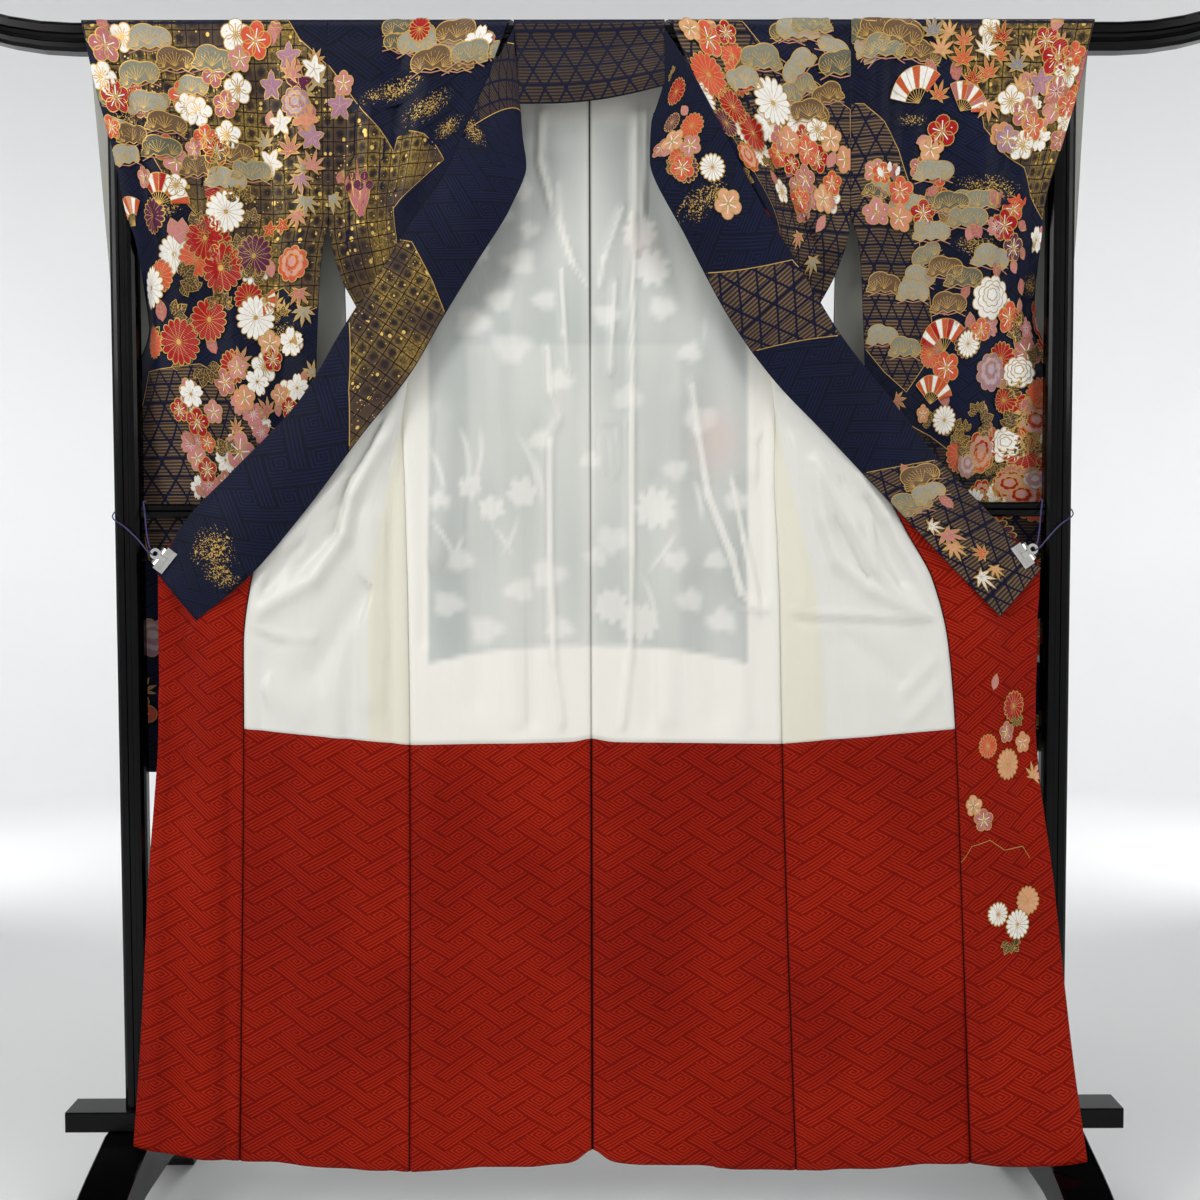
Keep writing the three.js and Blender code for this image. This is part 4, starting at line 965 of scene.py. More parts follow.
def shapes_mum(r, tone, spin):
    petals = 16
    out = [("fill", scalloped(r + 0.8, petals, 0.2, spin, 0.7), GOLD, 0, 1),
           ("fill", scalloped(r, petals, 0.2, spin, 0.7), tone, 0.12, 0)]
    for k in range(petals):
        angle = spin + (k + 0.5) * 2 * math.pi / petals - math.pi / 2
        out.append(("line", turned(np.array([[0, r * 0.14], [0, r * 0.84]]), angle), GOLD, 0.24, 0.6))
    out.append(("fill", ring(r * 0.13, 9), GOLD, 0.3, 1))
    return out


def shapes_maple(r, tone, spin):
    tips = ((0, 1.0), (38, 0.92), (76, 0.8), (118, 0.55), (-118, 0.55), (-76, 0.8), (-38, 0.92))
    order = sorted(tips)
    outline, veins = [], []
    for i, (angle, reach) in enumerate(order):
        rad = math.radians(angle)
        nxt = order[(i + 1) % len(order)][0] + (360 if i == len(order) - 1 else 0)
        outline += [(math.sin(rad - 0.16) * reach * 0.62, math.cos(rad - 0.16) * reach * 0.62),
                    (math.sin(rad) * reach, math.cos(rad) * reach),
                    (math.sin(rad + 0.16) * reach * 0.62, math.cos(rad + 0.16) * reach * 0.62)]
        notch = math.radians((angle + nxt) / 2)
        depth = 0.3 if i < len(order) - 1 else 0.12
        outline.append((math.sin(notch) * depth, math.cos(notch) * depth))
        veins.append(np.array([[0, 0], [math.sin(rad) * reach * 0.86, math.cos(rad) * reach * 0.86]]) * r)
    shape = np.array(outline) * r
    out = gilded(shape, tone, spin, 1 + 1.0 / r)
    out += [("line", turned(vein, spin), GOLD, 0.24, 0.5) for vein in veins]
    return out


def shapes_bell(r, tone, spin):
    star = []
    for k in range(5):
        for off, reach in ((-36, 0.5), (-14, 0.8), (0, 1.0), (14, 0.8)):
            a = math.radians(k * 72 + off)
            star.append((math.sin(a) * reach * r, math.cos(a) * reach * r))
    shape = np.array(star)
    out = gilded(shape, tone, spin, 1 + 0.9 / r)
    bright = GOLD if tone == TONES["white"] else TONES["peach"]
    out += [("line", turned(np.array([[0, 0], [0, r * 0.62]]), spin + k * 2 * math.pi / 5), bright, 0.24, 0.7)
            for k in range(5)]
    return out


def shapes_peony(r, tone, spin):
    out = []
    light = tuple(c * 0.75 + 0.25 for c in tone)
    rings = ((1.0, 9, tone), (0.74, 8, light), (0.5, 7, tone), (0.28, 5, light))
    for k, (size, lobes, shade) in enumerate(rings):
        start = spin + k * 0.4
        lift = k * 0.2
        shift = np.array([[0, r * 0.05 * k]])
        out.append(("fill", scalloped(r * size, lobes, 0.16, start, 0.8) + shift, GOLD, lift, 1))
        out.append(("fill", scalloped(r * size - 0.8, lobes, 0.16, start, 0.8) + shift, shade, lift + 0.1, 0))
    return out


def shapes_pine(r, tone, spin):
    """A cushion of pine needles: a lobed dome with gold needles fanning from its foot, on a thin branch."""
    angles = np.linspace(-0.2, math.pi + 0.2, 37)
    radius = r * (0.8 + 0.2 * np.abs(np.sin(angles * 2 + 0.5)))
    dome = np.stack([radius * np.cos(angles), radius * 0.72 * np.sin(angles)], axis=1)
    foot = np.array([[-0.55, -0.24], [-0.25, -0.1], [0, -0.2], [0.3, -0.1], [0.6, -0.24]]) * r
    shape = np.concatenate([dome, foot])
    branch = np.array([[-0.9, -0.36], [-0.45, -0.22], [0.0, -0.3], [0.5, -0.2], [0.95, -0.38]]) * r
    out = [("line", turned(branch, spin), TONES["twig"], 0, 1.3),
           *gilded(shape, tone, spin, 1 + 1.0 / r, 0.06, 0.16)]
    for x, y, lean, reach in ((-0.5, -0.1, -42, 0.5), (-0.05, -0.05, -4, 0.62), (0.5, -0.1, 40, 0.5)):
        base = np.array([x, y]) * r
        for k in range(7):
            a = math.radians(lean - 54 + k * 18)
            tip = base + np.array([math.sin(a), math.cos(a) * 0.9]) * reach * r
            out.append(("line", turned(np.array([base, tip]), spin), GOLD, 0.26, 0.7))
    return out


def shapes_leaf(r, tone, spin):
    outline = np.array([[0, 0], [0.3, 0.25], [0.42, 0.6], [0.3, 0.95], [0, 1.3], [-0.3, 0.95], [-0.42, 0.6],
                        [-0.3, 0.25]]) * r
    out = [*gilded(outline, tone, spin, 1 + 1.0 / r, 0, 0.1),
           ("line", turned(np.array([[0, 0], [0, r * 1.2]]), spin), GOLD, 0.2, 0.55)]
    for y, x in ((0.35, 0.26), (0.65, 0.32), (0.9, 0.22)):
        for sign in (-1, 1):
            vein = np.array([[0, r * (y - 0.12)], [sign * r * x, r * (y + 0.1)]])
            out.append(("line", turned(vein, spin), GOLD, 0.2, 0.45))
    return out


def shapes_spray(r, tone, spin):
    """Leaves in a fan, as under the chrysanthemums."""
    out = []
    for k, lean in enumerate((-70, -35, 0, 35, 70)):
        for kind, points, shade, lift, extra in shapes_leaf(r * (0.62 if k % 2 else 0.5), tone, 0.0):
            moved = turned(points + np.array([[0, r * 0.18]]), spin + math.radians(lean))
            out.append((kind, moved, shade, lift + 0.02 * k, extra))
    return out


def shapes_iris(r, tone, spin):
    out = []
    for lean, reach in ((-22, 0.8), (-10, 1.1), (3, 1.25), (14, 0.95), (28, 0.75)):
        a = math.radians(lean)
        tip = np.array([math.sin(a) * reach * r, math.cos(a) * reach * r])
        side = np.array([math.cos(a), -math.sin(a)]) * r * 0.06
        blade = np.array([-side, tip * 0.5 - side * 1.2, tip, tip * 0.5 + side * 1.2, side])
        out.append(("fill", turned(blade * 1.03, spin), GOLD, 0, 1))
        out.append(("fill", turned(blade * np.array([0.9, 0.98]), spin), TONES["rose"], 0.1, 0))
    for x, y in ((-0.12, 0.72), (0.2, 0.78)):
        for k in range(3):
            c = turned(np.array([[0, r * 0.14]]), k * 2 * math.pi / 3) + np.array([[x * r, y * r]])
            out.append(("fill", turned(ring(r * 0.11, 9) + c, spin), GOLD, 0.14, 1))
            out.append(("fill", turned(ring(r * 0.11 - 0.5, 9) + c, spin), tone, 0.22, 0))
    return out


def shapes_fan(r, tone, spin):
    """A half-open folding fan with plain coloured leaves."""
    out = []
    blades = 9
    for k in range(blades):
        a0, a1 = (math.radians(-62 + (k + j) * 124 / blades) for j in (0, 1))
        quad = np.array([[math.sin(a0) * 0.42, math.cos(a0) * 0.42], [math.sin(a0), math.cos(a0)],
                         [math.sin(a1), math.cos(a1)], [math.sin(a1) * 0.42, math.cos(a1) * 0.42]]) * r
        out.append(("fill", turned(quad, spin), (tone, TONES["white"], TONES["orange"])[k % 3], 0.1, 0))
        out.append(("line", turned(np.array([[0, 0], quad[1]]), spin), GOLD, 0.2, 0.9))
    for radius, count, sweep, width in ((r, 14, 133, 1.0), (r * 0.42, 10, 137, 0.9)):
        rim = ring(radius, count, math.radians(28), math.radians(sweep))
        out.append(("line", turned(rim, spin), GOLD, 0.22, width))
    return out


def shapes_buds(r, tone, spin):
    out = []
    for x, y, lean in ((-0.6, 0, -0.4), (0, 0.35, 0), (0.6, 0.1, 0.4)):
        bud = np.array([[0, 0], [0.22, 0.3], [0.14, 0.7], [0, 0.85], [-0.14, 0.7], [-0.22, 0.3]]) * r
        moved = turned(bud, -lean) + np.array([[x * r, y * r]])
        out.append(("fill", turned(moved, spin), tone, 0.1, 0))
        stalk = np.array([[x * r, y * r], [x * r * 0.5, -r * 0.4]])
        out.append(("line", turned(stalk, spin), GOLD, 0.05, 0.5))
    return out


# every motif is made of (form, points, shade, lift, gold or width)
MOTIFS = {"plum": shapes_plum, "cherry": shapes_cherry, "mum": shapes_mum, "maple": shapes_maple,
          "bell": shapes_bell, "peony": shapes_peony, "pine": shapes_pine, "leaf": shapes_leaf,
          "spray": shapes_spray, "iris": shapes_iris, "fan": shapes_fan, "buds": shapes_buds}


def clip_to(points, limit, axis, keep_low):
    """The part of a polygon on one side of a straight limit."""
    out = []
    for a, b in zip(points, np.roll(points, -1, axis=0)):
        ina = a[axis] >= limit if keep_low else a[axis] <= limit
        inb = b[axis] >= limit if keep_low else b[axis] <= limit
        if ina:
            out.append(a)
        if ina != inb:
            out.append(a + (b - a) * (limit - a[axis]) / (b[axis] - a[axis]))
    return np.array(out).reshape(-1, 2)


def within(points, outline, clear=0.0):
    """Which points lie inside a closed outline, and at least `clear` away from its corners."""
    a, b = outline, np.roll(outline, -1, axis=0)
    x, y = points[:, :1], points[:, 1:]
    crosses = (a[:, 1] > y) != (b[:, 1] > y)
    rise = np.where(b[:, 1] == a[:, 1], 1e-9, b[:, 1] - a[:, 1])
    left = x < a[:, 0] + (y - a[:, 1]) * (b[:, 0] - a[:, 0]) / rise
    inside = np.sum(crosses & left, axis=1) % 2 == 1
    if clear:
        inside &= np.min(np.hypot(x - a[:, 0], y - a[:, 1]), axis=1) > clear
    return inside


class Overlay:
    """Everything painted on one side of a panel, as one thin mesh just off the cloth."""

    def __init__(self, panel, outer=True):
        self.panel, self.sign = panel, 1.0 if outer else -1.0
        self.box = (PRINT_MARGIN, panel.width - PRINT_MARGIN, PRINT_MARGIN, panel.length - PRINT_MARGIN)
        self.verts, self.faces, self.uv, self.tint, self.face_material = [], [], [], [], []
        self.count = 0
        self.placed = []

    def add(self, st, lift, faces, shade, gold, material="motif"):
        self.verts.append(self.panel.on(st, self.sign * (FINISH_LIFT + lift)))
        self.uv.append(st * MM)
        shades = np.asarray(shade, float)
        if shades.ndim == 1:
            shades = np.repeat(shades[None], len(st), axis=0)
        self.tint.append(np.concatenate([shades, np.full((len(st), 1), 1.0 - gold)], axis=1))
        self.faces += [[int(i) + self.count for i in f] for f in faces]
        self.face_material += [OVERLAY.index(material)] * len(faces)
        self.count += len(st)

    def held(self, st):
        """Points moved inside the print's margins."""
        low_s, high_s, low_t, high_t = self.box
        return np.stack([np.clip(st[:, 0], low_s, high_s), np.clip(st[:, 1], low_t, high_t)], axis=1)

    def clip(self, points):
        low_s, high_s, low_t, high_t = self.box
        for axis, low, high in ((0, low_s, high_s), (1, low_t, high_t)):
            for limit, keep_low in ((low, True), (high, False)):
                if len(points):
                    points = clip_to(points, limit, axis, keep_low)
        return points

    def fill(self, st, lift, shade, gold=0, material="motif", step=FILL_STEP):
        st = self.clip(np.asarray(st, float))
        if len(st) < 3:
            return
        longer = []
        for a, b in zip(st, np.roll(st, -1, axis=0)):
            pieces = max(1, int(np.hypot(*(b - a)) / step))
            longer += [a + (b - a) * k / pieces for k in range(pieces)]
        st = np.array(longer)
        low, high = st.min(axis=0), st.max(axis=0)
        inside = []
        if max(high - low) > 1.5 * step:
            grid = np.stack(np.meshgrid(np.arange(low[0] + step / 2, high[0], step),
                                        np.arange(low[1] + step / 2, high[1], step)), axis=-1).reshape(-1, 2)
            inside = [g for g, here in zip(grid, within(grid, st, 0.35 * step)) if here]
        points = [Vector((float(p[0]), float(p[1]))) for p in [*st, *inside]]
        edges = [(i, (i + 1) % len(st)) for i in range(len(st))]
        verts, _, faces, *_ = delaunay_2d_cdt(points, edges, [], 0, 1e-4, False)
        flat = np.array([[p.x, p.y] for p in verts])
        faces = np.array(faces)
        faces = faces[within(flat[faces].mean(axis=1), st)]
        if len(faces):
            self.add(flat, lift, faces, shade, gold, material)

    def line(self, st, lift, shade, width, gold=1, closed=False):
        st = np.asarray(st, float)
        if closed:
            st = np.concatenate([st, st[:1]])
        fine = [st[0]]
        for a, b in zip(st[:-1], st[1:]):
            pieces = max(1, int(np.hypot(*(b - a)) / LINE_STEP))
            fine += [a + (b - a) * (k + 1) / pieces for k in range(pieces)]
        st = np.array(fine)
        along = np.gradient(st, axis=0)
        along /= np.linalg.norm(along, axis=1, keepdims=True) + 1e-9
        side = np.stack([-along[:, 1], along[:, 0]], axis=1) * width / 2
        low_s, high_s, low_t, high_t = self.box
        good = (st[:, 0] > low_s) & (st[:, 0] < high_s) & (st[:, 1] > low_t) & (st[:, 1] < high_t)
        both = np.concatenate([st + side, st - side])
        n = len(st)
        faces = [(i, i + 1, n + i + 1, n + i) for i in range(n - 1) if good[i] and good[i + 1]]
        if faces:
            self.add(self.held(both), lift, faces, shade, gold)

    def motif(self, kind, centre, radius, tone, spin=0.0):
        """One motif at flat coordinates; it is laid over any it meets that were placed before."""
        low_s, high_s, low_t, high_t = self.box
        inside_s = low_s - radius < centre[0] < high_s + radius
        if not (inside_s and low_t - radius < centre[1] < high_t + radius):
            return
        level = 0
        for other, reach, above in self.placed:
            if np.hypot(*(centre - other)) < (radius + reach) * 1.1:
                level = max(level, above + 1)
        level = min(level, MOST_LAYERS)
        self.placed.append((centre, radius, level))
        base = 2 * LAYER + LAYER * level + STAGGER * (len(self.placed) % STAGGERS)
        for form, points, shade, lift, extra in MOTIFS[kind](radius, TONES[tone], spin):
            st = centre + points * np.array([self.panel.mirror, -1.0])
            if form == "fill" and extra and len(points) > 10:
                self.line(st, base + SHAPE_LIFT * lift + OUTLINE_LIFT, GOLD, OUTLINE_WIDTH, closed=True)
            elif form == "fill":
                self.fill(st, base + SHAPE_LIFT * lift, shade, extra)
            else:
                self.line(st, base + SHAPE_LIFT * lift, shade, extra, 1 if shade == GOLD else 0)

    def region(self, material, st, outline=True):
        self.fill(st, LAYER, (1, 1, 1), 0, material, LINE_STEP)
        if outline:
            self.line(st, 1.5 * LAYER, GOLD, 1.0, closed=True)

    def powder(self, centre, half_s, half_t, lean):
        """Gold dust, thick in the middle and thinning out."""
        count, steps = 14, 5
        rings = [np.array([[0.0, 0.0]])]
        tints = [np.full((1, 3), POWDER_STRENGTH)]
        for k in range(1, steps + 1):
            r = k / steps
            rings.append(ring(r, count))
            tints.append(np.full((count, 3), POWDER_STRENGTH * (1 - r) ** 0.8))
        st = turned(np.concatenate(rings) * np.array([half_s, half_t]), lean)
        st = st * np.array([self.panel.mirror, -1]) + centre
        faces = [(0, 1 + i, 1 + (i + 1) % count) for i in range(count)]
        for k in range(steps - 1):
            a, b = 1 + k * count, 1 + (k + 1) * count
            faces += [(a + i, b + i, b + (i + 1) % count, a + (i + 1) % count) for i in range(count)]
        self.add(self.held(st), POWDER_LIFT, faces, np.concatenate(tints), 0, "powder")

    def build(self, name):
        return new_object(name, np.concatenate(self.verts), self.faces, np.concatenate(self.uv),
                          [MATERIALS[m] for m in OVERLAY], self.face_material, np.concatenate(self.tint))


def cloud_edge(points):
    """Rounds the sides of a region into scallops like a drawn cloud."""
    bump = 16.0
    out = []
    points = np.asarray(points, float)
    for a, b in zip(points, np.roll(points, -1, axis=0)):
        length = np.hypot(*(b - a))
        lobes = max(1, round(length / (bump * 2.6)))
        normal = np.array([(b - a)[1], -(b - a)[0]]) / length
        for k in range(lobes):
            for j in range(5):
                t = (k + j / 5) / lobes
                out.append(a + (b - a) * t + normal * bump * 0.5 * math.sin(math.pi * j / 5))
    return np.array(out)


# ---------------------------------------------------------------- build the panels
def edges_calm(u, v):
    """Folds die out at a panel's seams so that neighbours stay joined."""
    return smooth(u * 9) * smooth((1 - u) * 9) * smooth(v * 40)


def back_calm(u, v):
    return smooth((1 - u) * 12) * smooth(u * 16) * smooth(v * 40)


PANELS = {}
for hand in "LR":
    overlap_length = BODY_LENGTH - OVERLAP[hand]["level"][0]
    for name, *surface in (
        ("back", back_at(hand), 285, BODY_LENGTH, BACKWARD, (0.5, 0.5), (3.6, 6.5), back_calm, "01"),
        ("front", front_at(hand), 245, BODY_LENGTH, FORWARD, (0.5, 0.06), (4.4, 6.0), edges_calm, "01"),
        ("overlap", overlap_at(hand), 150, overlap_length, BACKWARD, (0.5, 0.5), (5.0, 6.0),
         lambda u, v: smooth(u * 6) * smooth(v * 20), "0"),
        ("sleeve_front", sleeve_front_at(hand), 333, SLEEVE_LENGTH, FORWARD, (0.4, 0.1), (6.0, 6.0),
         edges_calm),
        ("sleeve_back", sleeve_back_at(hand), 333, SLEEVE_LENGTH, BACKWARD, (0.4, 0.1), (7.0, 8.0),
         edges_calm),
        ("collar", strip_at(hand), 110, 930, FORWARD, (0.5, 0.5), (5.0, 6.0),
         lambda u, v: smooth(u * 4) * smooth((1 - u) * 4)),
    ):
        PANELS[f"{name}_{hand}"] = Panel(f"{name}_{hand}", *surface)
PANELS["collar_neck"] = Panel("collar_neck", neck_at, 200, 130, FORWARD, (0.5, 0.8), (4.0, 4.0))


# ---------------------------------------------------------------- the print seen from the front
PLACE_COLUMNS = ("kind", "tone", "x", "y", "size", "turn")
PLACED = {
    "sleeve_front_L": (
        ("pine", "grey", 150, 44, 32, 0), ("pine", "brown", 176, 66, 30, 0),
        ("pine", "sage", 214, 66, 32, 8), ("pine", "sage", 139, 80, 32, -6),
        ("pine", "grey", 146, 108, 31, 0), ("pine", "brown", 166, 128, 30, 5),
        ("pine", "brown", 134, 140, 30, 0), ("pine", "moss", 160, 152, 31, 0),
        ("pine", "grey", 128, 160, 29, -8), ("plum", "rose", 105, 46, 20, 0),
        ("plum", "white", 103, 78, 18, 20), ("plum", "red", 116, 98, 21, 0),
        ("plum", "coral", 112, 128, 16, 0), ("plum", "white", 236, 36, 20, 0),
        ("plum", "coral", 256, 42, 22, 12), ("plum", "pink", 240, 60, 15, 0),
        ("plum", "white", 238, 90, 18, 0), ("plum", "rose", 226, 106, 18, 10),
        ("plum", "white", 200, 114, 20, 15), ("plum", "coral", 206, 138, 17, 0),
        ("plum", "white", 228, 136, 19, 0), ("plum", "red", 217, 152, 19, 8),
        ("plum", "pink", 196, 150, 15, 0), ("pine", "brown", 232, 158, 32, 0),
        ("pine", "brown", 200, 172, 32, 0), ("pine", "grey", 226, 184, 31, 6),
        ("pine", "sage", 252, 176, 32, 0), ("bell", "mauve", 289, 58, 18, 0),
        ("bell", "white", 314, 70, 17, 10), ("bell", "purple", 299, 84, 18, 0),
        ("maple", "pink", 292, 76, 22, 20), ("peony", "mauve", 296, 104, 20, 0),
        ("bell", "white", 282, 124, 18, 0), ("bell", "salmon", 305, 118, 19, 25),
        ("bell", "mauve", 312, 138, 18, 0), ("maple", "rose", 292, 152, 26, -15),
        ("maple", "pink", 312, 168, 24, 15), ("maple", "mauve", 300, 178, 24, 170),
        ("maple", "grey", 306, 200, 24, 185), ("maple", "pink", 298, 214, 22, 175),
        ("bell", "orange", 270, 230, 11, 0), ("bell", "orange", 284, 226, 11, 40),
        ("fan", "red", 160, 205, 42, 25), ("fan", "salmon", 136, 226, 38, -30),
        ("plum", "white", 176, 186, 15, 0), ("plum", "pink", 146, 178, 15, 0),
        ("spray", "leaf", 194, 232, 30, 60), ("spray", "leaf", 236, 262, 26, -60),
        ("spray", "leaf", 180, 280, 30, 80), ("spray", "leaf", 172, 318, 30, 90),
        ("spray", "leaf", 220, 306, 26, -30), ("spray", "leaf", 205, 366, 30, 160),
        ("spray", "leaf", 240, 202, 26, 0), ("mum", "white", 226, 212, 27, 0),
        ("mum", "red", 206, 238, 29, 5), ("mum", "purple", 254, 256, 27, 0),
        ("mum", "red", 222, 268, 32, 0), ("mum", "white", 154, 288, 28, 0),
        ("peony", "coral", 293, 264, 24, 0), ("mum", "white", 256, 318, 29, 0),
        ("mum", "red", 210, 320, 29, 8), ("mum", "red", 180, 342, 31, 0),
        ("fan", "coral", 262, 300, 22, 110), ("maple", "rose", 300, 292, 22, 180),
        ("maple", "grey", 304, 310, 22, 185), ("plum", "peach", 270, 344, 18, 0),
        ("cherry", "white", 292, 342, 20, 0), ("plum", "red", 273, 360, 16, 0),
        ("maple", "rose", 240, 362, 22, 30), ("plum", "pink", 238, 368, 15, 0),
        ("cherry", "white", 257, 382, 19, 15), ("plum", "salmon", 245, 398, 17, 0),
        ("cherry", "white", 298, 388, 19, 0), ("plum", "red", 290, 408, 15, 0),
        ("maple", "rose", 268, 412, 22, -40), ("cherry", "white", 192, 394, 19, 0),
        ("plum", "red", 181, 410, 16, 0), ("plum", "red", 198, 422, 19, 10),
        ("plum", "pink", 214, 412, 16, 0), ("leaf", "rose", 186, 430, 16, 150),
        ("plum", "coral", 238, 445, 18, 0), ("cherry", "white", 226, 460, 19, 0),
        ("plum", "red", 208, 470, 18, 0), ("plum", "rose", 226, 482, 16, 0),
        ("leaf", "pink", 196, 486, 15, 130), ("maple", "rose", 238, 430, 18, 0),
    ),
    "front_L": (
        ("iris", "purple", 362, 216, 62, 4), ("bell", "mauve", 340, 106, 20, 0),
        ("plum", "pink", 344, 84, 14, 0), ("pine", "grey", 418, 48, 31, 0),
        ("pine", "brown", 432, 66, 32, 5), ("pine", "brown", 456, 38, 31, 0),
        ("pine", "sage", 470, 58, 30, 0), ("cherry", "white", 478, 44, 20, 0),
        ("mum", "red", 420, 30, 14, 0), ("maple", "grey", 332, 198, 22, 185),
    ),
    "sleeve_front_R": (
        ("pine", "moss", 862, 38, 32, 0), ("pine", "brown", 878, 34, 31, 0),
        ("pine", "sage", 884, 52, 32, 0), ("pine", "brown", 900, 40, 31, 6),
        ("maple", "slate", 932, 34, 22, 10), ("maple", "peach", 940, 52, 23, 20),
        ("maple", "coral", 962, 62, 24, 0), ("maple", "white", 984, 52, 24, 30),
        ("maple", "red", 1000, 40, 22, 15), ("maple", "coral", 988, 76, 22, -20),
        ("maple", "red", 972, 82, 22, 10), ("maple", "slate", 1016, 68, 22, 0),
        ("maple", "peach", 1028, 54, 20, 20), ("plum", "red", 1058, 58, 21, 0),
        ("plum", "white", 1066, 74, 18, 0), ("plum", "coral", 1072, 56, 16, 0),
        ("bell", "mauve", 1040, 84, 18, 0), ("cherry", "rose", 1056, 92, 18, 0),
        ("maple", "salmon", 988, 106, 24, 180), ("fan", "white", 918, 104, 44, -20),
        ("fan", "rose", 960, 112, 38, 35), ("plum", "white", 1010, 102, 20, 0),
        ("plum", "rose", 1024, 114, 20, 10), ("plum", "coral", 1032, 128, 20, 0),
        ("plum", "mauve", 1006, 140, 19, 0), ("plum", "white", 1022, 146, 20, 0),
        ("plum", "coral", 1066, 106, 18, 0), ("plum", "white", 1064, 122, 16, 0),
        ("plum", "rose", 1058, 140, 17, 0), ("plum", "red", 942, 132, 22, 0),
        ("plum", "peach", 930, 150, 19, 8), ("leaf", "pink", 915, 144, 18, 70),
        ("pine", "grey", 932, 176, 32, 0), ("buds", "white", 888, 178, 18, 0),
        ("plum", "coral", 899, 192, 20, 0), ("plum", "pink", 876, 212, 20, 0),
        ("plum", "salmon", 898, 218, 20, 12), ("plum", "red", 922, 214, 20, 0),
        ("leaf", "rose", 926, 196, 16, 60), ("pine", "moss", 950, 206, 29, 0),
        ("pine", "sage", 966, 222, 32, 0), ("pine", "grey", 930, 236, 32, 0),
        ("pine", "brown", 944, 272, 31, 0), ("pine", "grey", 990, 262, 34, 5),
        ("pine", "moss", 962, 282, 32, 0), ("pine", "brown", 884, 288, 31, 0),
        ("pine", "grey", 912, 296, 31, 0), ("pine", "brown", 948, 308, 32, 0),
        ("pine", "grey", 882, 340, 30, 0), ("pine", "sage", 904, 352, 31, 0),
        ("plum", "red", 1003, 226, 22, 0), ("plum", "purple", 1014, 248, 19, 0),
        ("leaf", "rose", 998, 206, 20, -40), ("leaf", "rose", 1018, 222, 18, 120),
        ("leaf", "rose", 1020, 278, 18, 160), ("buds", "coral", 1018, 208, 16, 0),
        ("cherry", "white", 1036, 240, 18, 0), ("peony", "white", 990, 298, 31, 0),
        ("plum", "coral", 1008, 318, 22, 0), ("spray", "leaf", 1020, 330, 30, -70),
        ("peony", "red", 1040, 326, 26, 0), ("fan", "red", 944, 352, 46, -14),
        ("mum", "white", 968, 344, 18, 0), ("plum", "coral", 980, 330, 16, 0),
        ("peony", "mauve", 990, 372, 27, 0), ("peony", "white", 1018, 372, 22, 0),
        ("fan", "orange", 930, 404, 40, 12), ("mum", "white", 944, 420, 20, 0),
        ("plum", "salmon", 922, 414, 13, 0), ("mum", "red", 1002, 400, 17, 0),
        ("spray", "leaf", 1022, 390, 26, -50), ("spray", "leaf", 978, 424, 30, 100),
        ("spray", "leaf", 956, 446, 26, 60), ("peony", "red", 980, 452, 30, 0),
        ("mum", "red", 1024, 452, 24, 0), ("mum", "coral", 1040, 420, 22, 0),
        ("mum", "white", 1044, 438, 16, 0), ("spray", "leaf", 1000, 476, 26, 160),
        ("mum", "white", 994, 494, 16, 0), ("mum", "rose", 1012, 478, 18, 0),
        ("peony", "red", 1020, 496, 22, 0), ("maple", "rose", 896, 400, 20, 120),
    ),
    "front_R": (
        ("pine", "grey", 798, 34, 31, 0), ("pine", "sage", 812, 28, 29, 0),
        ("pine", "moss", 840, 70, 32, 0), ("pine", "sage", 762, 64, 32, 0),
        ("pine", "grey", 745, 84, 29, 0), ("plum", "coral", 708, 40, 21, 0),
        ("plum", "red", 726, 34, 14, 0), ("plum", "peach", 690, 30, 14, 0),
        ("mum", "coral", 708, 76, 25, 0), ("mum", "white", 700, 98, 22, 0), ("mum", "red", 732, 108, 22, 0),
        ("mum", "white", 772, 104, 30, 0), ("mum", "purple", 726, 124, 18, 0),
        ("mum", "red", 752, 134, 26, 0), ("pine", "brown", 808, 116, 31, 0),
        ("plum", "white", 817, 130, 17, 0), ("plum", "salmon", 788, 142, 20, 0),
        ("plum", "coral", 806, 152, 22, 0), ("plum", "peach", 830, 140, 18, 0),
        ("plum", "rose", 804, 180, 20, 0), ("plum", "white", 781, 192, 17, 0),
        ("plum", "coral", 800, 200, 18, 0), ("plum", "peach", 822, 200, 20, 0),
        ("plum", "coral", 832, 184, 16, 0), ("maple", "rose", 798, 236, 20, 170),
        ("leaf", "pink", 816, 232, 20, -30), ("leaf", "pink", 834, 210, 16, 30),
        ("peony", "orange", 748, 158, 22, 0), ("mum", "white", 716, 166, 20, 0),
        ("spray", "leaf", 742, 172, 26, 200), ("spray", "leaf", 700, 120, 22, 160),
        ("maple", "grey", 812, 260, 22, 190),
    ),
    "collar_R": (
        ("mum", "red", 676, 92, 21, 0), ("spray", "leaf", 672, 76, 16, 0),
        ("plum", "peach", 672, 142, 19, 0), ("plum", "pink", 690, 146, 15, 0),
        ("plum", "coral", 682, 168, 16, 0), ("leaf", "pink", 660, 154, 14, 120),
        ("plum", "peach", 728, 204, 18, 0), ("mum", "white", 712, 168, 16, 0),
        ("pine", "brown", 922, 480, 34, 0), ("pine", "sage", 912, 506, 31, 20),
        ("pine", "grey", 930, 496, 29, 0), ("maple", "pink", 946, 534, 28, 175),
        ("maple", "white", 930, 526, 18, 130), ("maple", "peach", 952, 546, 22, 200),
        ("maple", "white", 980, 576, 22, 170), ("maple", "peach", 994, 568, 16, 210),
    ),
}

